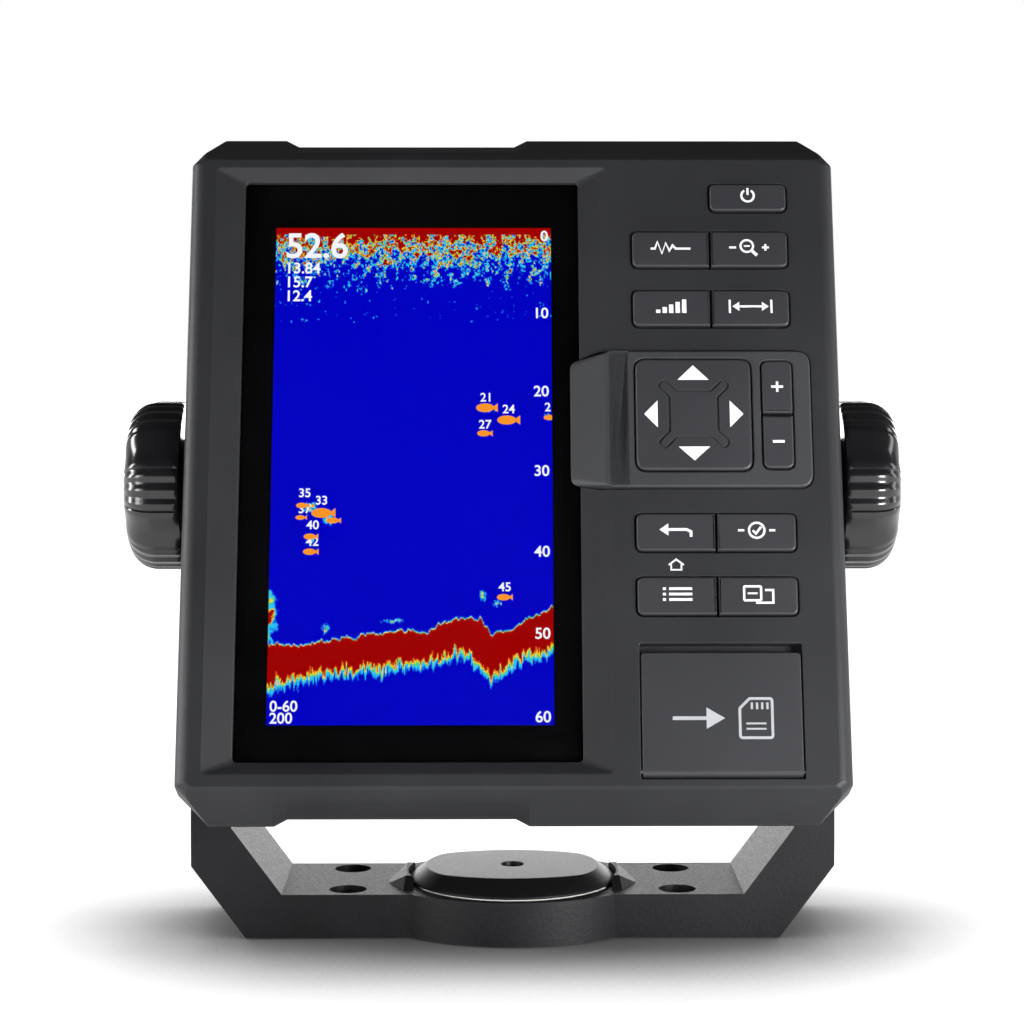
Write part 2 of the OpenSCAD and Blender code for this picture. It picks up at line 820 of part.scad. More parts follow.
module frame_screws() {
    color(steel)
    in_housing() {
        for (row = frame_post_rows)
            screw(-post_u, row, small_screw_r, small_head_r, 1, 4.4, ear_back);
        for (row = frame_post_far_rows)
            screw(frame_post_right, row, small_screw_r, small_head_r, 1, 4.4, ear_back);
        for (p = keypad_posts)
            screw(p[0], p[1], small_screw_r, small_head_r, 1, 4.4, keypad_board_back);
    }
}

// The main board's screws face forwards
module board_screws() {
    color(steel)
    in_housing()
    for (side = [-1, 1], row = main_post_rows) {
        peg(side*main_post_u, row, screw_r, main_board_front, main_board_back + 7);
        peg(side*main_post_u, row, head_r, main_board_front - head_t, main_board_front);
    }
}

// A threaded metal bushing in the housing's side, with the trunnion that the arm turns on
module bushing(side) {
    translate([side*boss_face, face_out, face_down])
        rotate([0, -side*90, 0])
            difference() {
                union() {
                    cylinder(r = bushing_r, h = boss_face - case_half_w + 10.5);
                    translate([0, 0, -(arm_outer - boss_face - 0.2)])
                        cylinder(r = trunnion_r, h = arm_outer - boss_face);
                }
                translate([0, 0, -20])
                    cylinder(r = stud_r + run_gap, h = 20 + boss_face - case_half_w + 9.5);
            }
}
module left_bushing() { color("silver") in_housing() bushing(-1); }
module right_bushing() { color("silver") in_housing() bushing(1); }

module pad_plate() {
    color(grey)
    in_housing()
    difference() {
        plate_shape(0, -plate_proud, plate_sunk, wing_floor);
        pad_openings(key_gap, -plate_proud - 1, plate_sunk + 1);
        // the wing's outer side slopes down to the window
        translate([plate_left - wing_reach, -plate_proud, 0])
            rotate([0, 0, 28])
                translate([-12, -6, -50])
                    cube([12, 16, 140]);
    }
}

module door_pin() {
    color(steel)
    in_housing()
    translate([door_u - door_w/2 - 1.8, hinge_d, hinge_v])
        rotate([0, 90, 0])
            cylinder(r = hinge_pin_r, h = door_w + 3.6);
}

// A key cap with a flange behind the face
module key(u, v, w, h, proud) {
    slab(u, v, w, h, 1.3, -proud, key_flange_front + eps);
    slab(u, v, w, h + 2*key_lip, 1.3, key_flange_front, key_flange_front + key_flange_t);
}
module paired_key(row, right) {
    color(black)
    in_housing()
    key(right ? right_key_u : left_key_u, key_rows[row], key_w, key_h, key_proud);
}
module power_key() { color(black) in_housing() key(right_key_u, power_row, key_w, power_h, key_proud); }
module upper_left_key() { paired_key(0, false); }
module upper_right_key() { paired_key(0, true); }
module second_left_key() { paired_key(1, false); }
module second_right_key() { paired_key(1, true); }
module third_left_key() { paired_key(2, false); }
module third_right_key() { paired_key(2, true); }
module lower_left_key() { paired_key(3, false); }
module lower_right_key() { paired_key(3, true); }

// The plus and minus keys keep their flanges to the outer side, clear of each other
module side_key(side) {
    proud = plate_proud + pad_proud;
    v = pad_row + side*side_key_pitch/2;
    color(black)
    in_housing() {
        slab(side_key_u, v, side_key_w, side_key_h, 1.3, -proud, key_flange_front + eps);
        slab(side_key_u, v, side_key_w + 2*key_lip + 1, side_key_h - 0.4, 1.3, key_flange_front,
             key_flange_front + key_flange_t);
    }
}
module plus_key() { side_key(1); }
module minus_key() { side_key(-1); }

// A ball on a short stem that lets the pad rock both ways
module pad_pivot() {
    color(steel)
    in_housing() {
        translate([pad_u, pad_pivot_depth, pad_row])
            sphere(r = ball_r);
        peg(pad_u, pad_row, stem_r, pad_pivot_depth, keypad_board_front - 0.4);
    }
}

module four_way_pad() {
    color(black)
    in_housing()
    difference() {
        slab(pad_u, pad_row, pad_side, pad_side, 2.6, -plate_proud - pad_proud, pad_back);
        translate([pad_u, pad_pivot_depth, pad_row])
            sphere(r = ball_r + run_gap);
        peg(pad_u, pad_row, stem_r + 0.6, pad_pivot_depth, pad_back + 1);
        for (a = [45:90:315])
            translate([pad_u, -plate_proud - pad_proud, pad_row])
                rotate([0, a, 0])
                    translate([8, -0.1, -0.4])
                        cube([6, 0.6, 0.8]);
    }
}

module card_door() {
    color(charcoal)
    in_housing()
    difference() {
        union() {
            block(door_u, (hinge_v + door_top)/2, door_w, door_top - hinge_v, 0, door_t);
            translate([door_u - door_w/2, hinge_d, hinge_v])
                rotate([0, 90, 0])
                    cylinder(r = barrel_r, h = door_w);
        }
        translate([door_u - door_w/2 - 1, hinge_d, hinge_v])
            rotate([0, 90, 0])
                cylinder(r = hinge_pin_r + run_gap, h = door_w + 2);
    }
}

module door_seal() {
    color(rubber)
    in_housing()
    difference() {
        slab(door_u, well_v, well_w + 3.2, well_h + 3.2, 1.5, door_t, door_t + seal_t);
        slab(door_u, well_v, well_w, well_h, 1, door_t - 1, door_t + seal_t + 1);
    }
}

// The washers and knobs stand on the tilt axis, outside the arms
module on_tilt_axis(side) {
    translate([0, 0, pivot_z])
        rotate([0, side*90, 0])
            children();
}

module washer(side) {
    color(rubber)
    on_tilt_axis(side)
    translate([0, 0, arm_outer + slide_gap])
        difference() {
            cylinder(r = ear_r - 0.5, h = washer_t);
            translate([0, 0, -1])
                cylinder(r = stud_r + run_gap, h = washer_t + 2);
        }
}
module left_washer() { washer(-1); }
module right_washer() { washer(1); }

module knob(side) {
    core_r = knob_r - knob_round;
    color(black)
    on_tilt_axis(side)
    translate([0, 0, knob_face])
    difference() {
        rotate_extrude() {
            polygon([[0, 0], [knob_r - 1, 0], [knob_r, 1], [knob_r, knob_t - knob_round],
                     [0, knob_t - knob_round]]);
            square([core_r, knob_t]);
            translate([core_r, knob_t - knob_round])
                intersection() {
                    circle(r = knob_round);
                    square(knob_round + 1);
                }
        }
        for (i = [0:knob_lobes - 1])
            rotate([0, 0, 360*(i + 0.5)/knob_lobes])
                translate([knob_r + 13.2, 0, -1])
                    cylinder(r = 14, h = knob_t + 2);
        translate([0, 0, -1])
            cylinder(r = stud_r, h = stud_sunk + 1);
    }
}
module left_knob() { knob(-1); }
module right_knob() { knob(1); }

module stud(side) {
    color("silver")
    on_tilt_axis(side)
    translate([0, 0, boss_face - stud_in])
        cylinder(r = stud_r, h = knob_face - boss_face + stud_in + stud_sunk);
}
module left_stud() { stud(-1); }
module right_stud() { stud(1); }

// The bracket's outline seen from the front
module bracket_front() {
    polygon([[-outer_foot, bar_clear], [outer_foot, bar_clear], [arm_outer, elbow_z],
             [arm_outer, pivot_z + ear_r + 1], [arm_inner, pivot_z + ear_r + 1], [arm_inner, inner_rise],
             [inner_foot, bar_t], [-inner_foot, bar_t], [-arm_inner, inner_rise],
             [-arm_inner, pivot_z + ear_r + 1], [-arm_outer, pivot_z + ear_r + 1], [-arm_outer, elbow_z]]);
}

// The bracket's outline seen from the side, wide at the foot and round at the ears
module bracket_side() {
    polygon([[-bar_d/2, 0], [bar_d/2, 0], [bar_d/2, elbow_z + 6], [ear_r, pivot_z], [-ear_r, pivot_z],
             [-bar_d/2, elbow_z + 6]]);
    translate([0, pivot_z])
        circle(r = ear_r);
}

module bail_bracket() {
    color(charcoal)
    difference() {
        union() {
            intersection() {
                translate([0, bar_d, 0])
                    rotate([90, 0, 0])
                        linear_extrude(2*bar_d)
                            bracket_front();
                translate([-face_w, 0, 0])
                    rotate([90, 0, 90])
                        linear_extrude(2*face_w)
                            bracket_side();
            }
            translate([0, 0, bar_clear])
                linear_extrude(hub_top - bar_clear)
                    intersection() {
                        translate([0, hub_face_r - hub_reach])
                            circle(r = hub_face_r);
                        translate([0, hub_reach - hub_face_r])
                            circle(r = hub_face_r);
                    }
            // ramps that rise beside the swivel disc
            for (side = [-1, 1])
                scale([side, 1, 1])
                    translate([disc_foot_r + free_gap, 0, hub_top])
                        hull() {
                            translate([0, 0, -1])
                                linear_extrude(1 + eps)
                                    polygon([[-1.5, -13], [0.8, -13], [4.4, -5], [4.4, -2],
                                             [0.3, 10.5], [-1.5, 10.5]]);
                            translate([-1.5, -7, lug_h - 0.2])
                                cube([1.9, 15, 0.2]);
                        }
        }
        // bore for the spindle, recess for the base's flange, seat for the ring
        translate([0, 0, -1])
            cylinder(r = spindle_r + run_gap, h = hub_top + 3);
        translate([0, 0, -1])
            cylinder(r = base_r + free_gap, h = base_t + 1 + slide_gap);
        translate([0, 0, hub_top - 0.6])
            difference() {
                cylinder(r = disc_foot_r + free_gap, h = 6);
                translate([0, 0, -1])
                    cylinder(r = spindle_r, h = 1);
            }
        for (sx = [-1, 1], sy = [-1, 1])
            translate([sx*hole_span_x/2, sy*hole_span_y/2, 0]) {
                translate([0, 0, -1])
                    cylinder(r = hole_r, h = bar_t + 2);
                translate([0, 0, bar_t - 4])
                    cylinder(r = mouth_r, h = 5);
            }
        for (side = [-1, 1])
            translate([side*(arm_inner - 1), 0, pivot_z])
                rotate([0, side*90, 0])
                    cylinder(r = ear_hole_r, h = arm_t + 2);
    }
}

// The lower half of the swivel, which stands on the surface
spindle_top = hub_top + 0.2;
module swivel_base() {
    color(black)
    difference() {
        union() {
            cylinder(r = base_r, h = base_t);
            cylinder(r = spindle_r, h = spindle_top);
        }
        translate([0, 0, -1])
            cylinder(r = centre_hole_r, h = spindle_top + 2);
        for (a = [30:120:270])
            rotate([0, 0, a])
                translate([9, 0, -1]) {
                    cylinder(r = screw_r, h = spindle_top + 2);
                    cylinder(r = head_r + 0.2, h = 1 + head_t + 0.4);
                }
    }
}

// The cone that trims the swivel disc's front or back
module disc_flank(side) {
    rise = disc_z - spindle_top;
    spread = (disc_foot_r - disc_half_d)*rise/(rise - 0.6);
    translate([0, side*(hub_face_r - disc_half_d), spindle_top])
        cylinder(r1 = hub_face_r + spread, r2 = hub_face_r, h = rise);
}

module swivel_disc() {
    color(grey)
    difference() {
        intersection() {
            translate([0, 0, spindle_top])
                rotate_extrude()
                    polygon([[0, 0], [disc_foot_r, 0], [disc_foot_r, 0.6], [disc_r, disc_z - spindle_top],
                             [0, disc_z - spindle_top]]);
            disc_flank(1);
            disc_flank(-1);
        }
        translate([0, 0, spindle_top - 1])
            cylinder(r = centre_hole_r, h = disc_z);
        for (a = [30:120:270])
            rotate([0, 0, a])
                translate([9, 0, spindle_top - 1])
                    cylinder(r = screw_r, h = 3.2);
    }
}

// A thin friction ring between the hub and the disc
module swivel_ring() {
    color([0.85, 0.85, 0.82])
    translate([0, 0, hub_top - 0.6])
        difference() {
            cylinder(r = disc_foot_r - 0.4, h = 0.7);
            translate([0, 0, -1])
                cylinder(r = spindle_r + free_gap, h = 3);
        }
}

module swivel_screws() {
    color(steel)
    for (a = [30:120:270])
        rotate([0, 0, a])
            translate([9, 0, 0.4]) {
                cylinder(r = head_r, h = head_t);
                cylinder(r = screw_r, h = spindle_top + 1.6);
            }
}

front_bezel();
rear_case();
case_gasket();
display_window();
window_gasket();
lcd_panel();
lcd_frame();
lcd_ribbon();
main_board();
main_board_parts();
keypad_board();
dome_switches();
keypad_mat();
keypad_ribbon();
card_socket();
buzzer();
breather_vent();
power_socket();
power_pins();
sonar_socket();
sonar_pins();
case_screws();
board_screws();
frame_screws();
left_bushing();
right_bushing();
pad_plate();
door_pin();
power_key();
upper_left_key();
upper_right_key();
second_left_key();
second_right_key();
third_left_key();
third_right_key();
lower_left_key();
lower_right_key();
plus_key();
minus_key();
pad_pivot();
four_way_pad();
card_door();
door_seal();
left_washer();
left_knob();
left_stud();
right_washer();
right_knob();
right_stud();
bail_bracket();
swivel_base();
swivel_disc();
swivel_ring();
swivel_screws();
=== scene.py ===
import bpy
import bmesh
import json
import math
from mathutils import Matrix, Vector


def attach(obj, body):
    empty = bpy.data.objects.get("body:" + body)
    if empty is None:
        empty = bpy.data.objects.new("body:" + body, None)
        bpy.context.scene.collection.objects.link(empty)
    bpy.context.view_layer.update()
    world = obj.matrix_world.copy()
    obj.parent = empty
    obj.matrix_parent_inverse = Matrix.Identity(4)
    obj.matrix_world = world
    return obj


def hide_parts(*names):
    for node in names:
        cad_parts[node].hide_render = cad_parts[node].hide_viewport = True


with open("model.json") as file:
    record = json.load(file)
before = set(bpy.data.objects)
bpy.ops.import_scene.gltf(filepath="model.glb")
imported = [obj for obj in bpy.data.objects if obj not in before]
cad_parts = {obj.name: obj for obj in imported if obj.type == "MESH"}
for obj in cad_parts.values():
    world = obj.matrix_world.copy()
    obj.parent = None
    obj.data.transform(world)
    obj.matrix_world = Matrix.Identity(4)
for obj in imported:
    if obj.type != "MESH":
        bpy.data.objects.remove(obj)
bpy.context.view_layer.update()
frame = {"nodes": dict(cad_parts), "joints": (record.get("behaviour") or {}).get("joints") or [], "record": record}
joints = {joint["name"]: joint for joint in frame["joints"]}
nodes = frame["nodes"]
print("frame loaded,", len(nodes), "nodes")

# Sizes are in millimetres. On the housing X runs across the face, Y back from it and Z up it.
housing = {"faceOut": 24, "faceDown": 1.5, "w": 150, "h": 148, "depth": 9, "wall": 3.2, "rim": 3,
           "bevelTop": 8.2, "bevelBottom": 7, "edgeRadius": 3.5, "cornerCut": 7, "stepDrop": 1.6,
           "stepLeft": -50.5, "stepRight": 0.5, "stepRamp": 3}
tiltAxis = Vector(joints["tilt"]["pos_m"])
pressAxis = Vector(joints["power_key_press"]["axis"])
lean = math.atan2(-pressAxis.z, pressAxis.y)
mm = 0.001
worldPlace = Matrix.Identity(4)
facePlace = (Matrix.Translation(tiltAxis) @ Matrix.Rotation(-lean, 4, "X")
             @ Matrix.Translation((0, -housing["faceOut"]*mm, -housing["faceDown"]*mm)))


def startMaterial(name):
    material = bpy.data.materials.new(name)
    material.use_nodes = True
    tree = material.node_tree
    place = tree.nodes.new("ShaderNodeTexCoord").outputs["Object"]
    return material, tree, tree.nodes["Principled BSDF"], place


def addNode(tree, kind, inputs=None, **settings):
    node = tree.nodes.new(kind)
    for key, value in settings.items():
        setattr(node, key, value)
    for key, value in (inputs or {}).items():
        if isinstance(value, bpy.types.NodeSocket):
            tree.links.new(value, node.inputs[key])
        else:
            node.inputs[key].default_value = value
    return node


def addMath(tree, operation, first, second=0.0, clamp=False):
    return addNode(tree, "ShaderNodeMath", {0: first, 1: second}, operation=operation,
                   use_clamp=clamp).outputs[0]


def addRange(tree, value, low, high, toLow, toHigh):
    spans = {"Value": value, "From Min": low, "From Max": high, "To Min": toLow, "To Max": toHigh}
    return addNode(tree, "ShaderNodeMapRange", spans).outputs[0]


def addMix(tree, factor, first, second):
    node = addNode(tree, "ShaderNodeMix", {"Factor": factor}, data_type="RGBA")
    for key, value in ((6, first), (7, second)):
        if isinstance(value, bpy.types.NodeSocket):
            tree.links.new(value, node.inputs[key])
        else:
            node.inputs[key].default_value = (*value, 1)
    return node.outputs[2]


def addNoise(tree, place, scale, detail=2.0, rough=0.5):
    return addNode(tree, "ShaderNodeTexNoise", {"Vector": place, "Scale": scale, "Detail": detail,
                                                "Roughness": rough}).outputs[0]


# Moulded plastic: fine spark-eroded grain, faint cloudiness and edges rubbed a little lighter
def mouldedPlastic(name, look):
    material, tree, shader, place = startMaterial(name)
    grain = addNoise(tree, place, look["grain"], 3, 0.6)
    pits = addNode(tree, "ShaderNodeTexVoronoi",
                   {"Vector": place, "Scale": look["grain"]*0.7}).outputs["Distance"]
    cloud = addNoise(tree, place, 28, 3)
    rub = addNode(tree, "ShaderNodeBevel", {"Radius": look["edge"]*mm}, samples=4).outputs[0]
    plain = addNode(tree, "ShaderNodeNewGeometry").outputs["Normal"]
    turn = addNode(tree, "ShaderNodeVectorMath", {0: rub, 1: plain},
                   operation="DOT_PRODUCT").outputs["Value"]
    edge = addRange(tree, turn, 0.995, 0.86, 0, look["wear"])
    speck = addRange(tree, addMath(tree, "ADD", cloud, addMath(tree, "MULTIPLY", grain, 0.6)),
                     0.5, 1.1, 0, 1)
    body = addMix(tree, speck, look["dark"], look["light"])
    tree.links.new(addMix(tree, edge, body, look["worn"]), shader.inputs["Base Color"])
    tree.links.new(addRange(tree, grain, 0.3, 0.7, *look["rough"]), shader.inputs["Roughness"])
    height = addMath(tree, "ADD", grain, addMath(tree, "MULTIPLY", pits, 0.8))
    bump = addNode(tree, "ShaderNodeBump", {"Height": height, "Strength": look["bump"], "Distance": 0.06*mm})
    tree.links.new(bump.outputs[0], shader.inputs["Normal"])
    shader.inputs["Specular IOR Level"].default_value = look["gloss"]
    return material


# Polished plastic: a soft orange-peel surface with a few hairline scratches
def polishedPlastic(name, dark, light, rough):
    material, tree, shader, place = startMaterial(name)
    cloud = addNoise(tree, place, 60, 3)
    peel = addNoise(tree, place, 420, 2)
    long = addNode(tree, "ShaderNodeMapping", {"Vector": place, "Scale": (300, 2600, 300)}).outputs[0]
    scratch = addRange(tree, addNoise(tree, long, 1, 4, 0.7), 0.62, 0.72, 0, 0.12)
    tree.links.new(addMix(tree, cloud, dark, light), shader.inputs["Base Color"])
    tree.links.new(addMath(tree, "ADD", addRange(tree, cloud, 0.3, 0.7, rough*0.8, rough*1.25), scratch),
                   shader.inputs["Roughness"])
    bump = addNode(tree, "ShaderNodeBump", {"Height": peel, "Strength": 0.12, "Distance": 0.08*mm})
    tree.links.new(bump.outputs[0], shader.inputs["Normal"])
    shader.inputs["Coat Weight"].default_value = 0.35
    shader.inputs["Coat Roughness"].default_value = 0.08
    return material


# Turned or brushed metal: streaks along one axis
def streakedMetal(name, dark, light, rough, stretch):
    material, tree, shader, place = startMaterial(name)
    along = addNode(tree, "ShaderNodeMapping", {"Vector": place, "Scale": stretch}).outputs[0]
    streak = addNoise(tree, along, 1, 5, 0.65)
    stain = addNoise(tree, place, 90, 3)
    tree.links.new(addMix(tree, streak, dark, light), shader.inputs["Base Color"])
    tree.links.new(addRange(tree, addMath(tree, "ADD", streak, stain), 0.6, 1.4, rough*0.7, rough*1.4),
                   shader.inputs["Roughness"])
    bump = addNode(tree, "ShaderNodeBump", {"Height": streak, "Strength": 0.15, "Distance": 0.03*mm})
    tree.links.new(bump.outputs[0], shader.inputs["Normal"])
    shader.inputs["Metallic"].default_value = 1
    return material


def moulded(name, dark, light, rough, grain=2600, bump=0.35, worn=None, wear=0.5, gloss=0.5, edge=0.35):
    look = {"dark": dark, "light": light, "rough": rough, "grain": grain, "bump": bump, "wear": wear,
            "worn": worn or [c*1.7 + 0.01 for c in light], "gloss": gloss, "edge": edge}
    return mouldedPlastic(name, look)


# Circuit board: lacquer over copper tracks
def lacqueredBoard(name):
    material, tree, shader, place = startMaterial(name)
    grid = addNode(tree, "ShaderNodeTexBrick", {"Vector": place, "Scale": 220.0, "Mortar Size": 0.03,
                                                "Color1": (0.01, 0.13, 0.05, 1),
                                                "Color2": (0.015, 0.17, 0.07, 1),
                                                "Mortar": (0.05, 0.3, 0.12, 1)})
    pads = addNode(tree, "ShaderNodeTexVoronoi", {"Vector": place, "Scale": 380.0}).outputs["Distance"]
    tree.links.new(addMix(tree, addRange(tree, pads, 0.14, 0.1, 0, 1), grid.outputs[0], (0.6, 0.5, 0.3)),
                   shader.inputs["Base Color"])
    tree.links.new(addRange(tree, addNoise(tree, place, 200), 0.3, 0.7, 0.2, 0.4),
                   shader.inputs["Roughness"])
    return material


def flatCable(name):
    material, tree, shader, place = startMaterial(name)
    wave = addNode(tree, "ShaderNodeTexWave", {"Vector": place, "Scale": 220.0}).outputs[1]
    tree.links.new(addMix(tree, addRange(tree, wave, 0.4, 0.6, 0, 1), (0.55, 0.26, 0.05),
                          (0.75, 0.45, 0.14)),
                   shader.inputs["Base Color"])
    tree.links.new(addRange(tree, wave, 0, 1, 0.25, 0.4), shader.inputs["Roughness"])
    return material


def clearPane(name):
    material, tree, shader, place = startMaterial(name)
    smear = addNoise(tree, place, 45, 4, 0.6)
    tree.links.new(addRange(tree, smear, 0.55, 0.75, 0.0, 0.03), shader.inputs["Roughness"])
    shader.inputs["Transmission Weight"].default_value = 1
    shader.inputs["IOR"].default_value = 1.08
    shader.inputs["Base Color"].default_value = (1, 1, 1, 1)
    return material


def printedInk(name, colour, rough=0.5, gloss=0.4):
    material, tree, shader, place = startMaterial(name)
    fleck = addRange(tree, addNoise(tree, place, 2200, 2), 0.35, 0.6, 0.9, 1)
    tree.links.new(addMix(tree, fleck, [c*0.86 for c in colour], colour), shader.inputs["Base Color"])
    tree.links.new(addRange(tree, addNoise(tree, place, 900), 0.3, 0.7, rough*0.8, rough*1.2),
                   shader.inputs["Roughness"])
    shader.inputs["Specular IOR Level"].default_value = gloss
    return material


# A lit part of the screen: colour with a trace of the display's own rows
def litInk(name, colour, power=1.0):
    material, tree, shader, place = startMaterial(name)
    rows = addNode(tree, "ShaderNodeTexWave", {"Vector": place, "Scale": 900.0},
                   bands_direction="Z").outputs[1]
    glow = addMix(tree, addRange(tree, rows, 0, 1, 0, 0.12), colour, [c*0.7 for c in colour])
    tree.links.new(glow, shader.inputs["Emission Color"])
    tree.links.new(addRange(tree, rows, 0, 1, 0.4, 0.5), shader.inputs["Roughness"])
    shader.inputs["Base Color"].default_value = (0, 0, 0, 1)
    shader.inputs["Specular IOR Level"].default_value = 0.05
    shader.inputs["Emission Strength"].default_value = power
    return material


looks = {
    "bezel": moulded("bezel plastic", (0.013, 0.0135, 0.015), (0.025, 0.0258, 0.029),
                     (0.42, 0.56), wear=0.35,
                     gloss=0.36),
    "case": moulded("case plastic", (0.012, 0.012, 0.0135), (0.021, 0.021, 0.0235), (0.45, 0.6), 2200,
                    0.4, wear=0.35),
    "bracket": moulded("bracket plastic", (0.006, 0.0062, 0.007), (0.016, 0.0165, 0.0185),
                       (0.4, 0.58), 1500, 0.5,
                       wear=0.4, gloss=0.22),
    "plate": moulded("plate plastic", (0.03, 0.031, 0.033), (0.045, 0.046, 0.05), (0.4, 0.5), 3400, 0.2),
    "key": moulded("key plastic", (0.024, 0.0245, 0.028), (0.036, 0.0365, 0.041), (0.38, 0.46), 3600, 0.15),
    "door": moulded("door plastic", (0.03, 0.0305, 0.034), (0.042, 0.0425, 0.047), (0.3, 0.38), 3600, 0.12),
    # painted shade: the swivel disc is coloured near black, far darker than its grey plastic, so that its shaded
    # cone reads black
    "disc": moulded("disc plastic darkened as painted shade", (0.006, 0.006, 0.0065), (0.011, 0.011, 0.012), (0.36, 0.46), 2600,
                    0.2, gloss=0.26),
    "rubber": moulded("seal rubber", (0.012, 0.012, 0.012), (0.02, 0.02, 0.02), (0.6, 0.75), 1800,
                      0.3, gloss=0.3),
    "chip": moulded("chip plastic", (0.012, 0.012, 0.013), (0.03, 0.03, 0.03), (0.45, 0.6)),
    "ring": moulded("friction plastic", (0.6, 0.6, 0.57), (0.72, 0.72, 0.68), (0.4, 0.5)),
    "knob": polishedPlastic("knob plastic", (0.006, 0.006, 0.007), (0.012, 0.012, 0.014), 0.2),
    "socket": polishedPlastic("socket plastic", (0.01, 0.01, 0.011), (0.02, 0.02, 0.022), 0.34),
    "steel": streakedMetal("screw steel", (0.35, 0.36, 0.38), (0.62, 0.63, 0.65), 0.28, (300, 2500, 300)),
    "nickel": streakedMetal("nickel", (0.5, 0.48, 0.44), (0.7, 0.68, 0.62), 0.22, (2500, 300, 300)),
    "brass": streakedMetal("brass", (0.6, 0.42, 0.14), (0.85, 0.65, 0.28), 0.2, (300, 2000, 300)),
    "board": lacqueredBoard("board lacquer"),
    "cable": flatCable("flat cable film"),
    "pane": clearPane("window pane"),
    "border": printedInk("border ink", (0.0012, 0.0012, 0.0016), 0.5, 0.05),
    "mark": printedInk("key mark ink", (0.82, 0.82, 0.84)),
    "softMark": printedInk("soft mark ink", (0.42, 0.43, 0.45)),
    "digit": litInk("screen white", (0.9, 0.92, 1.0)),
    "fish": litInk("screen orange", (0.95, 0.3, 0.02)),
}
print("materials made,", len(looks))


# Rounds each corner of a closed outline; the number of points doesn't depend on the radii
def roundCorners(points, radii, steps=4):
    out = []
    for i, point in enumerate(points):
        before, corner, after = Vector(points[i - 1]), Vector(point), Vector(points[(i + 1) % len(points)])
        back, ahead = before - corner, after - corner
        radius = radii[i] if isinstance(radii, (list, tuple)) else radii
        bend = math.tan(max(back.angle(ahead), 0.05)/2)
        cut = max(min(radius/bend, 0.45*back.length, 0.45*ahead.length), 1e-4)
        start, end = corner + back.normalized()*cut, corner + ahead.normalized()*cut
        for k in range(steps + 1):
            t = k/steps
            out.append(start*(1 - t)**2 + corner*2*t*(1 - t) + end*t*t)
    return out


def rectangle(u, v, w, h, radius, steps=4):
    return roundCorners([(u - w/2, v - h/2), (u + w/2, v - h/2), (u + w/2, v + h/2), (u - w/2, v + h/2)],
                        radius, steps)


def circle(u, v, radius, count=48):
    turns = [2*math.pi*k/count for k in range(count)]
    return [Vector((u + radius*math.cos(a), v + radius*math.sin(a))) for a in turns]


def grow(points, amount):
    out = []
    for i, point in enumerate(points):
        first = (point - points[i - 1]).normalized()
        second = (points[(i + 1) % len(points)] - point).normalized()
        a, b = Vector((first.y, -first.x)), Vector((second.y, -second.x))
        out.append(point + (a + b)/max(1 + a.dot(b), 0.35)*amount)
    return out


# (growth, depth) steps that turn from a face onto its wall
def edgeTurn(radius, steps=4):
    turns = [math.pi/2*k/steps for k in range(steps + 1)]
    return [(radius*(math.sin(a) - 1), radius*(1 - math.cos(a))) for a in turns]


# Skins closed rings, given as (points, depth), and closes both ends
def loft(mesh, rings):
    made = [[mesh.verts.new((p[0], depth, p[1])) for p in points] for points, depth in rings]
    count = len(made[0])
    for first, second in zip(made, made[1:]):
        for i in range(count):
            mesh.faces.new((first[i], first[(i + 1) % count], second[(i + 1) % count], second[i]))
    mesh.faces.new(made[0])
    mesh.faces.new(made[-1])
    return made


def slab(mesh, outline, front, back, frontEdge=0.4, backEdge=0.2):
    rings = [(grow(outline, g), front + d) for g, d in edgeTurn(frontEdge)]
    rings += [(grow(outline, g), back - d) for g, d in reversed(edgeTurn(backEdge, 2))]
    return loft(mesh, rings)


# A cutter for an opening whose mouth is rounded
def opening(mesh, outline, face, floor, mouth=0.3):
    rings = [(grow(outline, mouth), face - 1)]
    rings += [(grow(outline, -g), face + d) for g, d in edgeTurn(mouth, 3)]
    rings.append((outline, floor))
    return loft(mesh, rings)


# A turned solid about the Y axis, from (radius, along) pairs
def turned(mesh, profile, segments=96, centre=(0, 0)):
    rings = [(circle(centre[0], centre[1], max(radius, 1e-3), segments), along) for radius, along in profile]
    return loft(mesh, rings)


def newMesh():
    return bmesh.new()


def combine(mesh, tool, operation):
    shown = []
    for part in (mesh, tool):
        bmesh.ops.recalc_face_normals(part, faces=part.faces)
        data = bpy.data.meshes.new("work")
        part.to_mesh(data)
        part.free()
        obj = bpy.data.objects.new("work", data)
        bpy.context.scene.collection.objects.link(obj)
        shown.append(obj)
    modifier = shown[0].modifiers.new("cut", "BOOLEAN")
    modifier.object = shown[1]
    modifier.operation = operation
    modifier.solver = "EXACT"
    result = newMesh()
    result.from_object(shown[0], bpy.context.evaluated_depsgraph_get())
    for obj in shown:
        data = obj.data
        bpy.data.objects.remove(obj)
        bpy.data.meshes.remove(data)
    return result


def finishPiece(name, mesh, place, body, look, stands=(), sharpAngle=36):
    bmesh.ops.remove_doubles(mesh, verts=mesh.verts, dist=1e-4)
    bmesh.ops.recalc_face_normals(mesh, faces=mesh.faces)
    limit = math.radians(sharpAngle)
    for edge in mesh.edges:
        edge.smooth = len(edge.link_faces) == 2 and edge.calc_face_angle(0) < limit
    for face in mesh.faces:
        face.smooth = True
    mesh.transform(Matrix.Scale(mm, 4))
    data = bpy.data.meshes.new(name)
    mesh.to_mesh(data)
    mesh.free()
    piece = bpy.data.objects.new(name, data)
    bpy.context.scene.collection.objects.link(piece)
    piece.matrix_world = place
    data.materials.append(looks[look])
    normals = piece.modifiers.new("normals", "WEIGHTED_NORMAL")
    normals.keep_sharp = True
    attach(piece, body)
    if stands:
        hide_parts(*stands)
    return piece


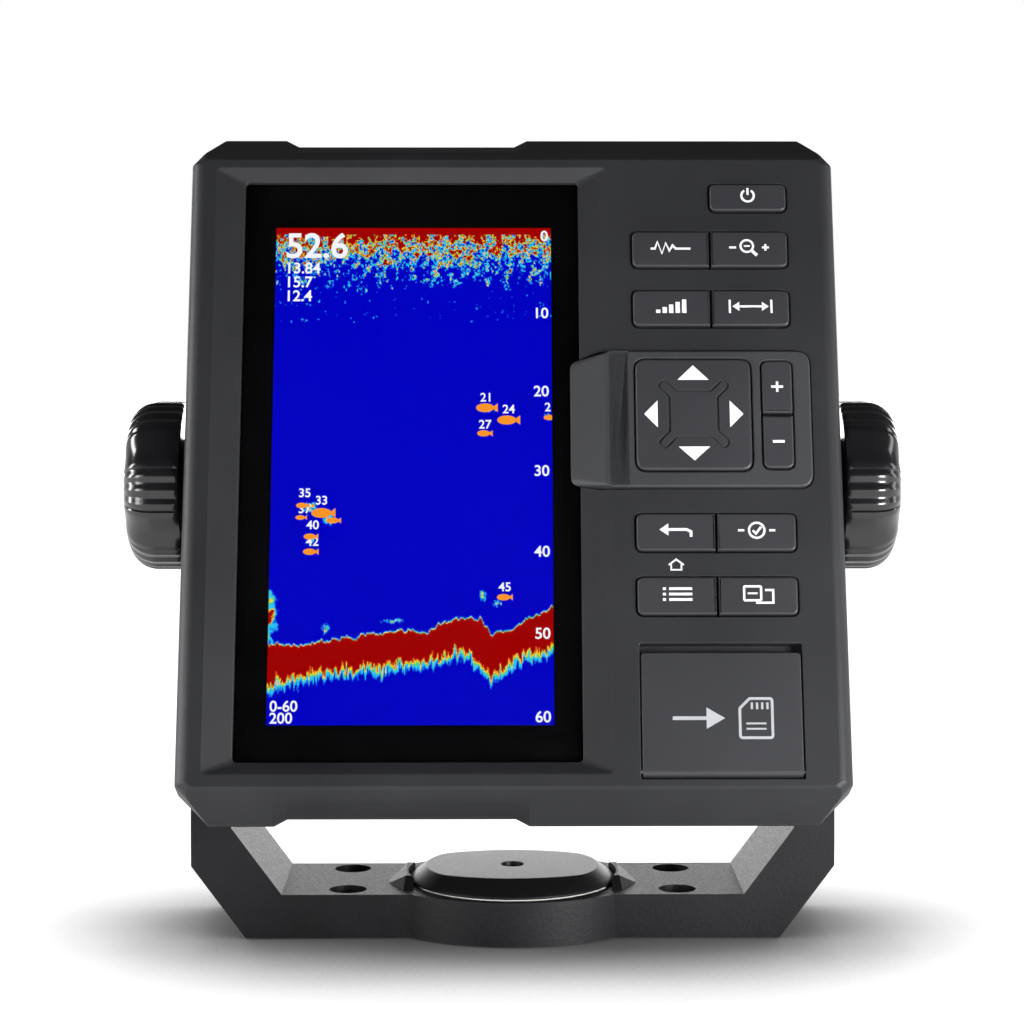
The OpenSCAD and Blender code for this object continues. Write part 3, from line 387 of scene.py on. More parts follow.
# The outline of the bezel at a depth: the front edges are round, and the top and bottom
# bevels widen backwards
def bezelLoop(depth, inset=0):
    h = housing
    turn = min(depth, h["edgeRadius"])
    u = h["w"]/2 - h["edgeRadius"] + math.sqrt(h["edgeRadius"]**2 - (h["edgeRadius"] - turn)**2) - inset
    rise = min(depth/h["depth"], 1)
    shy = 0.35*max(0, 1 - depth/0.5)
    top = h["h"]/2 + h["bevelTop"]*rise - inset - shy
    low = -h["h"]/2 - h["bevelBottom"]*rise + inset + shy
    end = h["h"]/2 - inset*0.4 - 1.2*(1 - rise)
    cut = 1.2 + (h["cornerCut"] - 1.2)*rise - inset*0.3
    drop = h["stepDrop"]*max(0, (rise - 0.35)/0.65)
    left, right, ramp = h["stepLeft"], h["stepRight"], h["stepRamp"]
    points = [(-u, -end), (-u + cut, low), (left - ramp, low), (left, low + drop), (right, low + drop),
              (right + ramp, low), (u - cut, low), (u, -end), (u, end), (u - cut, top), (right + ramp, top),
              (right, top - drop), (left, top - drop), (left - ramp, top), (-u + cut, top), (-u, end)]
    return roundCorners(points, [0.9, 0.9, 0.5, 0.5, 0.5, 0.5, 0.9, 0.9]*2, 3)


window = {"w": 77.6, "h": 136.8, "u": -23.5, "v": 0.4, "side": 6.5, "end": 2.9, "sink": 2.2}
keys = {"w": 17.7, "h": 8.6, "powerH": 6.6, "proud": 0.9, "rows": [51.3, 36.9, -16.3, -31.0],
        "powerRow": 64.1,
        "right": 63.6, "split": 0.5, "gap": 0.3, "corner": 1.4, "flange": 3.3, "flangeT": 1.0}
pad = {"side": 26.3, "u": 41.05, "v": 11.1, "proud": 1.9, "back": 3.0, "corner": 2.4,
       "keyU": 60.2, "keyW": 6.8,
       "keyH": 12.4, "keyPitch": 13.0}
plate = {"left": 21.4, "right": 67.9, "top": 26.45, "bottom": -5.85, "proud": 1.2, "sunk": 0.8,
         "corner": 3.2,
         "wingTip": 13.2, "wingTop": 24.6, "wingBottom": -4.4}
door = {"u": 46.1, "w": 35.6, "bottom": -71.8, "h": 28, "t": 2.2, "barrel": 1.6, "finger": 2.1, "gap": 0.35,
        "pocket": 3.5, "wellW": 22, "wellH": 16, "wellV": -55.3, "wellD": 14}
rightKeyU = keys["right"] - keys["w"]/2
leftKeyU = rightKeyU - keys["w"] - keys["split"]
pairU = (leftKeyU + rightKeyU)/2
pairW = 2*keys["w"] + keys["split"]


def plateOutline():
    p = plate
    return roundCorners([(p["left"], p["bottom"]), (p["right"], p["bottom"]), (p["right"], p["top"]),
                         (p["left"], p["top"])], [1.5, p["corner"], p["corner"], 1.5], 6)


def wingOutline():
    p = plate
    inside = p["left"] + 5
    return roundCorners([(p["wingTip"], p["wingBottom"]), (p["left"] - 1.5, p["bottom"]),
                         (inside, p["bottom"]),
                         (inside, p["top"]), (p["left"] - 1.5, p["top"]), (p["wingTip"], p["wingTop"])],
                        [2.2, 1.2, 0.1, 0.1, 1.2, 2.2], 4)


def buildBezel():
    h, gap = housing, keys["gap"]
    shell = newMesh()
    edge = h["edgeRadius"]
    depths = [edge*(1 - math.cos(math.radians(a))) for a in range(0, 91, 10)] + [5, 7, h["depth"] - 0.35]
    rings = [(bezelLoop(d), d) for d in depths]
    rings += [(bezelLoop(h["depth"], 0.06), h["depth"] - 0.1), (bezelLoop(h["depth"], 0.3), h["depth"])]
    loft(shell, rings)
    hollow = newMesh()
    loft(hollow, [(bezelLoop(h["depth"], h["rim"]), h["depth"] + 1),
                  (bezelLoop(h["depth"], h["rim"]), h["depth"] - 0.5),
                  (bezelLoop(3.5, h["rim"] + 0.5), h["wall"])])
    shell = combine(shell, hollow, "DIFFERENCE")
    cup = newMesh()
    doorMid = door["bottom"] + door["h"]/2 + 1
    loft(cup, [(rectangle(door["u"], doorMid, door["w"] + 5, door["h"] + 5, 1), h["wall"] - 0.5),
               (rectangle(door["u"], doorMid, door["w"] + 5, door["h"] + 5, 1), door["pocket"] + 1.4)])
    shell = combine(shell, cup, "UNION")
    well = newMesh()
    loft(well, [(rectangle(door["u"], door["wellV"], door["wellW"] + 3, door["wellH"] + 3, 1.5),
                 door["pocket"] + 0.7),
                (rectangle(door["u"], door["wellV"], door["wellW"] + 3, door["wellH"] + 3, 1.5),
                 door["wellD"] + 1.5)])
    shell = combine(shell, well, "UNION")

    cutters = newMesh()
    w = window
    wide = rectangle(w["u"], w["v"], w["w"] + 2*w["side"], w["h"] + 2*w["end"], 1.2)
    tight = rectangle(w["u"], w["v"], w["w"], w["h"], 1.2)
    loft(cutters, [(grow(wide, 0.3), -1), (grow(wide, 0.3), 0), (grow(wide, 0.05), 0.08),
                   (grow(wide, -0.3), 0.25),
                   (grow(tight, 0.35), w["sink"] - 0.1), (grow(tight, 0.1), w["sink"] + 0.05),
                   (tight, w["sink"] + 0.3),
                   (tight, 5)])
    opening(cutters, rectangle(rightKeyU, keys["powerRow"], keys["w"] + 2*gap, keys["powerH"] + 2*gap,
                               keys["corner"] + gap), 0, 6)
    for row in keys["rows"]:
        opening(cutters, rectangle(pairU, row, pairW + 2*gap, keys["h"] + 2*gap, keys["corner"] + gap), 0, 6)
    doorH = door["h"] + door["finger"] + door["gap"]
    opening(cutters, rectangle(door["u"], door["bottom"] - door["gap"] + doorH/2,
                               door["w"] + 2*door["gap"], doorH, 0.5),
            0, door["pocket"], 0.2)
    shell = combine(shell, cutters, "DIFFERENCE")
    cutters = newMesh()
    opening(cutters, rectangle(door["u"], door["wellV"], door["wellW"], door["wellH"], 1.5), door["pocket"],
            door["wellD"])
    loft(cutters, [(grow(plateOutline(), 0.42), -1), (grow(plateOutline(), 0.42), plate["sunk"])])
    shell = combine(shell, cutters, "DIFFERENCE")
    cutters = newMesh()
    loft(cutters, [(grow(wingOutline(), 0.3), -1), (grow(wingOutline(), 0.3), 2.7)])
    shell = combine(shell, cutters, "DIFFERENCE")
    cutters = newMesh()
    opening(cutters, rectangle(pad["u"], pad["v"], pad["side"] + 1.6, pad["side"] + 1.6, 3),
            plate["sunk"], 6)
    opening(cutters, rectangle(pad["keyU"], pad["v"], pad["keyW"] + 1.6, 2*pad["keyPitch"] + 1, 2),
            plate["sunk"], 6)
    opening(cutters, rectangle(door["u"], door["wellV"], 12, 1.6, 0.3), door["wellD"],
            door["wellD"] + 3, 0.2)
    shell = combine(shell, cutters, "DIFFERENCE")
    finishPiece("bezelShell", shell, facePlace, "housing", "bezel", ["front_bezel"])


buildBezel()
print("bezel built")


# The rear case: a flange of the bezel's outline and a tapering box with a hollow inside
case = {"front": 9.6, "back": 60.0, "flange": 2.0, "halfW": 62.5, "taper": 5.5, "top": 72.0, "bottom": -70.0,
        "lift": 10.0, "corner": 7.0, "wall": 2.5, "socketU": (-23.0, 7.0), "socketV": -34.0, "ventU": 38.0}


def caseRing(depth, inset=0, shy=0):
    c = case
    share = (depth - c["front"] - c["flange"])/(c["back"] - c["front"] - c["flange"])
    half = c["halfW"] - c["taper"]*share - inset - shy
    top = c["top"] - c["lift"]*share - inset - shy
    low = c["bottom"] + c["lift"]*share + inset + shy
    return rectangle(0, (top + low)/2, 2*half, top - low, c["corner"]*1.7 - inset, 8)


def buildCase():
    c, h = case, housing
    back = c["front"] + c["flange"]
    shell = newMesh()
    rings = [(bezelLoop(h["depth"], -g), c["front"] + d) for g, d in edgeTurn(0.35, 3)]
    rings += [(bezelLoop(h["depth"], -g), back - d) for g, d in reversed(edgeTurn(0.5, 3))]
    loft(shell, rings)
    box = newMesh()
    rings = [(caseRing(back, 0, -1.2*(1 - math.sin(math.radians(a)))),
              back + 1.2*(1 - math.cos(math.radians(a))) - 0.05)
             for a in range(0, 91, 18)]
    rings = [(caseRing(back, 0, -1.2), back - 1)] + rings
    rings += [(caseRing(20 + 8*k), 20 + 8*k) for k in range(5)]
    roundEnd = 3.0
    rings += [(caseRing(c["back"], 0, roundEnd*(1 - math.cos(math.radians(a)))),
               c["back"] - roundEnd*(1 - math.sin(math.radians(a)))) for a in range(0, 91, 15)]
    loft(box, rings)
    shell = combine(shell, box, "UNION")
    bosses = newMesh()
    for side in (-1, 1):
        rings = [(9 + 1.5, 56), (9 + 1.5, 59.6), (9.3, 60.8), (9, 61.6), (9, 64.55),
                 (8.85, 64.85), (8.6, 64.95)]
        begin = len(bosses.verts)
        turned(bosses, rings)
        bosses.verts.ensure_lookup_table()
        turn = (Matrix.Translation((0, h["faceOut"], h["faceDown"]))
                @ Matrix.Rotation(-side*math.pi/2, 4, "Z"))
        bmesh.ops.transform(bosses, matrix=turn, verts=bosses.verts[begin:])
    shell = combine(shell, bosses, "UNION")
    hollow = newMesh()
    loft(hollow, [(caseRing(back, c["wall"]), c["front"] - 1), (caseRing(back, c["wall"]), back),
                  (caseRing(c["back"] - 3, c["wall"]), c["back"] - c["wall"] - 1.5),
                  (caseRing(c["back"] - 3, c["wall"] + 1.5), c["back"] - c["wall"])])
    shell = combine(shell, hollow, "DIFFERENCE")
    cutters = newMesh()
    # a shallow panel round the sockets, one above it, and the screws' recesses
    opening(cutters, rectangle(8, c["socketV"], 84, 30, 6, 8), c["back"], c["back"] + 0.7, 0.3)
    for u in c["socketU"]:
        turned(cutters, [(9, c["back"] - 6), (9, c["back"] + 3)], 64, (u, c["socketV"]))
    for side in (-1, 1):
        for row in (-67, 0, 67):
            turned(cutters, [(2.7, back - 1.3), (2.7, back - 0.1), (2.9, back + 0.05), (2.9, back + 1)], 40,
                   (side*68.2, row))
    shell = combine(shell, cutters, "DIFFERENCE")
    cutters = newMesh()
    rim = c["back"] - 0.8
    grooves = [(rectangle(0, 34 - 7*k, 78, 2.2, 1.0, 4), k) for k in range(4)]
    for outline, k in grooves:
        loft(cutters, [(grow(outline, -0.3), rim), (outline, rim + 0.3),
                       (grow(outline, 0.2), c["back"] + 0.02),
                       (grow(outline, 0.2), c["back"] + 1)])
    shell = combine(shell, cutters, "DIFFERENCE")
    finishPiece("caseShell", shell, facePlace, "housing", "case", ["rear_case"])


buildCase()
print("rear case built")


# A closed band that follows an outline, for grooves and printed rings
def band(mesh, outline, half, front, back):
    loops = [(grow(outline, half), front), (grow(outline, half), back),
             (grow(outline, -half), back), (grow(outline, -half), front)]
    made = [[mesh.verts.new((p[0], depth, p[1])) for p in points] for points, depth in loops]
    count = len(outline)
    for first, second in zip(made, made[1:] + made[:1]):
        for i in range(count):
            mesh.faces.new((first[i], first[(i + 1) % count], second[(i + 1) % count], second[i]))


# A printed line: a thin ribbon along the points
def stroke(mesh, points, width, front, thick=0.03):
    points = [Vector(p) for p in points]
    left, right = [], []
    for i, point in enumerate(points):
        before = (point - points[i - 1]).normalized() if i else (points[1] - point).normalized()
        after = (points[i + 1] - point).normalized() if i < len(points) - 1 else before
        a, b = Vector((-before.y, before.x)), Vector((-after.y, after.x))
        side = (a + b)/max(1 + a.dot(b), 0.5)*width/2
        left.append(point + side)
        right.append(point - side)
    loft(mesh, [(left + right[::-1], front - thick), (left + right[::-1], front)])


def shape(mesh, points, front, thick=0.03):
    loft(mesh, [([Vector(p) for p in points], front - thick), ([Vector(p) for p in points], front)])


def arcPoints(u, v, radius, start, end, count=24):
    turns = [math.radians(start + (end - start)*k/count) for k in range(count + 1)]
    return [(u + radius*math.cos(a), v + radius*math.sin(a)) for a in turns]


def buildPlate():
    p, gap = plate, keys["gap"]
    body = newMesh()
    slab(body, plateOutline(), -p["proud"], p["sunk"], 0.5, 0.1)
    wing = newMesh()
    tip = wingOutline()
    lifted = roundCorners([(p["left"] - 0.3, p["wingBottom"] - 1.0), (p["left"] + 1.2, p["bottom"]),
                           (p["left"] + 5, p["bottom"]), (p["left"] + 5, p["top"]),
                           (p["left"] + 1.2, p["top"]),
                           (p["left"] - 0.3, p["wingTop"] + 1.4)], [2.2, 1.2, 0.1, 0.1, 1.2, 2.2], 4)
    between = [a.lerp(b, 0.94) for a, b in zip(tip, lifted)]
    loft(wing, [(tip, 2.6), (grow(tip, 0.05), 2.3), (between, -p["proud"] + 0.3),
                (lifted, -p["proud"] + 0.08),
                (grow(lifted, -0.5), -p["proud"])])
    body = combine(body, wing, "UNION")
    cutters = newMesh()
    side = pad["side"] + 2*gap
    opening(cutters, rectangle(pad["u"], pad["v"], side, side, pad["corner"] + gap), -p["proud"], 4, 0.35)
    opening(cutters, rectangle(pad["keyU"], pad["v"], pad["keyW"] + 2*gap,
                               pad["keyPitch"] + pad["keyH"] + 2*gap,
                               1.9), -p["proud"], 4, 0.35)
    body = combine(body, cutters, "DIFFERENCE")
    finishPiece("padPlate", body, facePlace, "housing", "plate", ["pad_plate"])


def buildPad():
    face = -pad["proud"]
    body = newMesh()
    slab(body, rectangle(pad["u"], pad["v"], pad["side"], pad["side"], pad["corner"]), face,
         pad["back"], 0.6, 0.3)
    cutters = newMesh()
    half, near, reach, spread = 5.5, 4.0, 8.2, 6.7
    corner = [(half, near), (reach, spread), (spread, reach), (near, half)]
    corners = []
    for turn in range(4):
        c, s = math.cos(turn*math.pi/2), math.sin(turn*math.pi/2)
        corners += [(pad["u"] + u*c - v*s, pad["v"] + u*s + v*c) for u, v in corner]
    outline = roundCorners(corners, [0.4, 1.0, 1.0, 0.4]*4, 3)
    band(cutters, outline, 0.33, face - 0.5, face + 0.38)
    turned(cutters, [(0.01, 4), (2.1, 4), (2.1, 2.2), (0.01, 1.4)], 32, (pad["u"], pad["v"]))
    body = combine(body, cutters, "DIFFERENCE")
    finishPiece("fourWayPad", body, facePlace, "four_way_pad", "key", ["four_way_pad"])
    marks = newMesh()
    u, v = pad["u"], pad["v"]
    tip, base, wide = 11.6, 8.1, 3.6
    shape(marks, [(u - wide, v + base), (u + wide, v + base), (u, v + tip)], face)
    shape(marks, [(u - wide, v - base + 0.4), (u, v - tip + 0.6), (u + wide, v - base + 0.4)], face)
    shape(marks, [(u + base + 0.1, v - wide + 0.4), (u + base + 0.1, v + wide - 0.4),
                  (u + tip - 0.3, v)], face)
    shape(marks, [(u - base - 0.1, v - wide + 0.4), (u - tip + 0.3, v),
                  (u - base - 0.1, v + wide - 0.4)], face)
    finishPiece("padArrows", marks, facePlace, "four_way_pad", "mark")


# Small pictograms, each drawn about its own middle
def drawMark(mesh, kind, u, v, face):
    def at(points):
        return [(u + a, v + b) for a, b in points]
    line = 0.5
    if kind == "power":
        stroke(mesh, arcPoints(u, v, 1.45, 122, 418), 0.52, face)
        stroke(mesh, at([(0, 0.2), (0, 1.9)]), 0.52, face)
    elif kind == "trace":
        stroke(mesh, at([(-4.6, -0.3), (-3.6, -0.3), (-3, 1.4), (-2, -1.5), (-1.1, 1.1),
                         (-0.3, -0.8), (0.5, 0.5),
                         (1.2, -0.3), (4.6, -0.3)]), line, face)
    elif kind == "magnifier":
        band(mesh, circle(u - 0.5, v + 0.35, 1.45, 32), line/2, face - 0.03, face)
        stroke(mesh, at([(0.55, -0.7), (1.8, -1.95)]), 0.75, face)
        stroke(mesh, at([(-1.2, 0.35), (0.2, 0.35)]), 0.4, face)
        stroke(mesh, at([(3, 0), (4.6, 0)]), line, face)
        stroke(mesh, at([(3.8, -0.8), (3.8, 0.8)]), line, face)
        stroke(mesh, at([(-4.6, 0), (-3, 0)]), line, face)
    elif kind == "bars":
        for k in range(5):
            shape(mesh, at([(-3.6 + 1.5*k, -1.6), (-2.6 + 1.5*k, -1.6), (-2.6 + 1.5*k, -0.8 + 0.62*k),
                            (-3.6 + 1.5*k, -0.8 + 0.62*k)]), face)
    elif kind == "span":
        stroke(mesh, at([(-3.4, 0), (3.4, 0)]), line, face)
        for side in (-1, 1):
            shape(mesh, at([(side*4.2, 0), (side*2.6, 1.1), (side*2.6, -1.1)]), face)
            stroke(mesh, at([(side*4.8, -1.6), (side*4.8, 1.6)]), line, face)
    elif kind == "back":
        shape(mesh, at([(-3.7, 0.2), (-1.7, 1.6), (-1.7, -1.2)]), face)
        stroke(mesh, at([(-2, 0.2), (2.4, 0.2), (3.4, -0.3), (3.4, -1.5)]), 0.62, face)
    elif kind == "tick":
        band(mesh, circle(u, v, 1.75, 32), line/2, face - 0.03, face)
        stroke(mesh, at([(-0.9, 0), (-0.2, -0.75), (1, 0.8)]), line, face)
        for side in (-1, 1):
            stroke(mesh, at([(side*2.8, 0), (side*4.2, 0)]), line, face)
    elif kind == "lines":
        for k in (-1, 0, 1):
            stroke(mesh, at([(-3.2, 1.25*k), (-2.5, 1.25*k)]), 0.6, face)
            stroke(mesh, at([(-1.8, 1.25*k), (3.4, 1.25*k)]), 0.6, face)
    elif kind == "pages":
        band(mesh, rectangle(u - 1.3, v + 0.15, 3.8, 3.2, 0.3), line/2, face - 0.03, face)
        stroke(mesh, at([(1.5, 0.9), (3.3, 0.9), (3.3, -2.0), (-0.6, -2.0)]), line, face)
        stroke(mesh, at([(-2.4, 0.15), (-0.2, 0.15)]), 0.4, face)
    elif kind == "house":
        stroke(mesh, at([(-1.7, -0.1), (0, 1.2), (1.7, -0.1)]), 0.4, face)
        stroke(mesh, at([(-1.15, 0.1), (-1.15, -1.2), (1.15, -1.2), (1.15, 0.1)]), 0.36, face)
    elif kind == "plus":
        stroke(mesh, at([(-1.35, 0), (1.35, 0)]), 0.55, face)
        stroke(mesh, at([(0, -1.25), (0, 1.25)]), 0.55, face - 0.005)
    elif kind == "minus":
        stroke(mesh, at([(-1.35, 0), (1.35, 0)]), 0.62, face)
    elif kind == "card":
        edge = [(-3.6, -4.4), (3.6, -4.4), (3.6, 4.4), (-1.4, 4.4), (-3.6, 2.2)]
        band(mesh, roundCorners(at(edge), 0.6, 3), 0.3, face - 0.03, face)
        for k in range(4):
            stroke(mesh, at([(-0.9 + 1.15*k, 2.0), (-0.9 + 1.15*k, 3.5)]), 0.5, face)
        stroke(mesh, at([(-2.2, -1.2), (2.2, -1.2)]), 0.4, face)
        stroke(mesh, at([(-2.2, -2.4), (2.2, -2.4)]), 0.4, face)


def buildKey(name, u, v, w, h, radii, face, mark):
    outline = rectangle(u, v, w, h, radii, 4)
    flange, lip = keys["flange"], 0.8
    body = newMesh()
    rings = [(grow(outline, g), face + d) for g, d in edgeTurn(0.5)]
    rings += [(outline, flange - 0.15), (grow(outline, 0.15), flange), (grow(outline, lip - 0.1), flange),
              (grow(outline, lip), flange + 0.1), (grow(outline, lip), flange + keys["flangeT"] - 0.1),
              (grow(outline, lip - 0.1), flange + keys["flangeT"])]
    if name in ("plus_key", "minus_key"):
        rings = rings[:6] + [(outline, flange + keys["flangeT"] - 0.1),
                             (grow(outline, -0.1), flange + keys["flangeT"])]
    loft(body, rings)
    finishPiece(name + "Cap", body, facePlace, name, "key", [name])
    ink = newMesh()
    drawMark(ink, mark, u, v + (0.35 if h > 6 and w > 10 else 0), face)
    finishPiece(name + "Mark", ink, facePlace, name, "mark")


def buildKeys():
    r, face = keys["corner"], -keys["proud"]
    buildKey("power_key", rightKeyU, keys["powerRow"], keys["w"], keys["powerH"], r, face, "power")
    rowNames = ["upper", "second", "third", "lower"]
    rowMarks = [("trace", "magnifier"), ("bars", "span"), ("back", "tick"), ("lines", "pages")]
    for row, name, marks in zip(keys["rows"], rowNames, rowMarks):
        buildKey(name + "_left_key", leftKeyU, row, keys["w"], keys["h"], [r, 0.2, 0.2, r], face, marks[0])
        buildKey(name + "_right_key", rightKeyU, row, keys["w"], keys["h"], [0.2, r, r, 0.2], face, marks[1])
    high = pad["v"] + pad["keyPitch"]/2
    low = pad["v"] - pad["keyPitch"]/2
    buildKey("plus_key", pad["keyU"], high, pad["keyW"], pad["keyH"], [0.3, 0.3, 1.6, 1.6],
             -pad["proud"], "plus")
    buildKey("minus_key", pad["keyU"], low, pad["keyW"], pad["keyH"], [1.6, 1.6, 0.3, 0.3],
             -pad["proud"], "minus")
    ink = newMesh()
    drawMark(ink, "house", leftKeyU, (keys["rows"][2] + keys["rows"][3])/2, 0)
    finishPiece("homeMark", ink, facePlace, "housing", "mark")


def buildDoor():
    d = door
    top = d["bottom"] + d["h"]
    hinge = d["bottom"] + d["barrel"]
    body = newMesh()
    slab(body, rectangle(d["u"], (hinge + top)/2, d["w"], top - hinge, [0.5, 0.5, 0.8, 0.8]), 0,
         d["t"], 0.3, 0.2)
    barrel = newMesh()
    bore = 0.76
    turned(barrel, [(bore, -d["w"]/2), (d["barrel"] - 0.15, -d["w"]/2), (d["barrel"], -d["w"]/2 + 0.15),
                    (d["barrel"], d["w"]/2 - 0.15), (d["barrel"] - 0.15, d["w"]/2), (bore, d["w"]/2)], 48)
    turn = Matrix.Translation((d["u"], d["barrel"], hinge)) @ Matrix.Rotation(math.pi/2, 4, "Z")
    bmesh.ops.transform(barrel, matrix=turn, verts=barrel.verts)
    body = combine(body, barrel, "UNION")
    hole = newMesh()
    turned(hole, [(bore, -d["w"]), (bore, d["w"])], 32)
    bmesh.ops.transform(hole, matrix=turn, verts=hole.verts)
    body = combine(body, hole, "DIFFERENCE")
    finishPiece("cardDoor", body, facePlace, "card_door", "door", ["card_door"])
    ink = newMesh()
    drawMark(ink, "card", d["u"] + 7.5, d["bottom"] + 13.2, 0)
    shape(ink, [(d["u"] - 11, d["bottom"] + 12.8), (d["u"] - 3.5, d["bottom"] + 12.8),
                (d["u"] - 3.5, d["bottom"] + 13.6),
                (d["u"] - 11, d["bottom"] + 13.6)], 0)
    shape(ink, [(d["u"] + 0.6, d["bottom"] + 13.2), (d["u"] - 3.5, d["bottom"] + 15.6),
                (d["u"] - 3.5, d["bottom"] + 10.8)], 0)
    finishPiece("doorMark", ink, facePlace, "card_door", "softMark")


# A clamp knob, made about its own axis: rounded outer edge, six hollows and fine ridges between them
def buildKnob(side, name):
    k = {"r": 20.0, "t": 13.4, "round": 7.0, "lobes": 6, "bore": 3.0, "boreDepth": 7.0, "inner": 76.3}
    straight = k["t"] - k["round"]
    profile = [(k["bore"], k["boreDepth"]), (k["bore"], 0.3), (k["bore"] + 0.3, 0), (k["r"] - 1.4, 0),
               (k["r"] - 0.6, 0.25), (k["r"] - 0.1, 0.9), (k["r"], 1.6)]
    profile += [(k["r"], 1.6 + (straight - 1.6)*i/5) for i in range(1, 5)]
    profile += [(k["r"] - k["round"] + k["round"]*math.cos(a), straight + k["round"]*math.sin(a))
                for a in [math.pi/2*i/14 for i in range(15)]]
    profile += [(k["r"] - k["round"] - 1.2, k["t"] - 0.05), (k["r"] - k["round"] - 2.0, k["t"] - 0.5),
                (k["r"] - k["round"] - 3.0, k["t"] - 0.6), (0.4, k["t"] - 0.6)]
    count = 432
    mesh = newMesh()
    rings = []
    for radius, along in profile:
        strength = min(max((radius - 9)/8, 0), 1)*min(along, 1)
        points = []
        for i in range(count):
            angle = 2*math.pi*i/count
            part = (angle*k["lobes"]/(2*math.pi) + 0.5) % 1 - 0.5      # 0 in the middle of a ridge group
            carve = 0
            if abs(part) > 0.3:
                carve = 0.85*math.cos((0.5 - abs(part))/0.2*math.pi/2)
            elif abs(part) < 0.25:
                carve = 0.42*(0.5 - 0.5*math.cos(part*2*math.pi*6)) + 0.02
            cut = radius - carve*strength
            points.append(Vector((cut*math.cos(angle), cut*math.sin(angle))))
        rings.append((points, along))
    loft(mesh, rings)
    place = Matrix.Translation((side*k["inner"]*mm, 0,
                                tiltAxis.z)) @ Matrix.Rotation(-side*math.pi/2, 4, "Z")
    finishPiece(name + "Grip", mesh, place, name, "knob", [name], 50)


# The swivel disc: a cone whose front and back are trimmed by flatter ones
def buildDisc():
    d = {"hole": 2.6, "foot": 24.4, "top": 20.6, "low": 10.7, "high": 14.0, "flat": 16.5, "faceRadius": 34.3}
    mesh = newMesh()

    def loop(radius, flat):
        points = []
        offset = d["faceRadius"] - d["flat"]
        reach = flat + offset
        for k in range(180):
            a = 2*math.pi*k/180
            side = abs(math.sin(a))*offset
            trim = -side + math.sqrt(max(side*side + reach*reach - offset*offset, 0))
            r = -math.log(math.exp(-radius*4) + math.exp(-trim*4))/4 if trim < radius + 3 else radius
            points.append(Vector((r*math.cos(a), r*math.sin(a))))
        return points

    def share(z):
        t = (z - d["low"] - 0.6)/(d["high"] - d["low"] - 0.6)
        return d["foot"] + (d["top"] - d["foot"])*t, d["foot"] + (d["flat"] - d["foot"])*t

    rings = [(circle(0, 0, d["foot"] - 0.2, 180), d["low"]), (circle(0, 0, d["foot"], 180), d["low"] + 0.2),
             (circle(0, 0, d["foot"], 180), d["low"] + 0.5)]
    for z in (11.45, 11.8, 12.2, 12.6, 13.0, 13.4, 13.65):
        rings.append((loop(*share(z)), z))
    radius, flat = share(d["high"])
    rings += [(loop(radius + 0.2, flat + 0.45), d["high"] - 0.22),
              (loop(radius, flat + 0.15), d["high"] - 0.07),
              (loop(radius - 0.3, flat - 0.3), d["high"]), (circle(0, 0, d["hole"] + 0.5, 180), d["high"]),
              (circle(0, 0, d["hole"] + 0.12, 180), d["high"] - 0.12),
              (circle(0, 0, d["hole"], 180), d["high"] - 0.5),
              (circle(0, 0, d["hole"], 180), d["low"])]
    made = [[mesh.verts.new((p[0], p[1], z)) for p in points] for points, z in rings]
    for first, second in zip(made, made[1:] + made[:1]):
        for i in range(180):
            mesh.faces.new((first[i], first[(i + 1) % 180], second[(i + 1) % 180], second[i]))
    finishPiece("swivelTop", mesh, worldPlace, "base", "disc", ["swivel_disc"], 24)


def buildSocket(index, name):
    u, v, back = case["socketU"][index], case["socketV"], case["back"]
    outer, inner, far = 9.0, 7.5, back + 10
    mesh = newMesh()
    profile = [(inner, back - 1), (outer, back - 1), (outer, back + 0.8), (outer + 1.7, back + 0.8),
               (outer + 2, back + 1.1), (outer + 2, back + 2.1), (outer + 1.7, back + 2.4),
               (outer, back + 2.4),
               (outer, back + 3)]
    for k in range(4):
        start = back + 3 + 1.6*k
        profile += [(outer, start + 0.3), (outer - 0.45, start + 0.8), (outer - 0.45, start + 1.0),
                    (outer, start + 1.5)]
    profile += [(outer, far - 0.3), (outer - 0.3, far), (inner + 0.3, far), (inner, far - 0.3)]
    turned(mesh, profile, 96, (u, v))
    caps = [face for face in mesh.faces if len(face.verts) > 8]
    bmesh.ops.delete(mesh, geom=caps, context="FACES")
    bmesh.ops.bridge_loops(mesh, edges=[edge for edge in mesh.edges if len(edge.link_faces) == 1])
    floor = newMesh()
    turned(floor, [(outer - 0.6, back - 11), (outer, back - 10.5), (outer, back - 1.6), (outer, back - 0.4),
                   (inner - 0.5, back - 0.4)], 96, (u, v))
    mesh = combine(mesh, floor, "UNION")
    rib = newMesh()
    loft(rib, [(rectangle(u, v + inner - 0.4, 1.6, 1.2, 0.3), back - 1),
               (rectangle(u, v + inner - 0.4, 1.6, 1.2, 0.3), far - 1.2)])
    mesh = combine(mesh, rib, "UNION")
    finishPiece(name + "Shroud", mesh, facePlace, "housing", "socket", [name])


def buildVent():
    u, v, back = case["ventU"], case["socketV"], case["back"]
    mesh = newMesh()
    turned(mesh, [(3, back - 2.5), (3, back), (5.0, back), (5.2, back + 0.2), (5.2, back + 1.2),
                  (4.8, back + 1.6)], 64,
           (u, v))
    cutters = newMesh()
    for k in (-1, 0, 1):
        opening(cutters, rectangle(u + 2.2*k, v, 0.9, 6 - 1.6*abs(k), 0.4), back + 0.7, back + 3, 0)
    mesh = combine(mesh, cutters, "DIFFERENCE")
    finishPiece("ventCap", mesh, facePlace, "housing", "socket", ["breather_vent"])


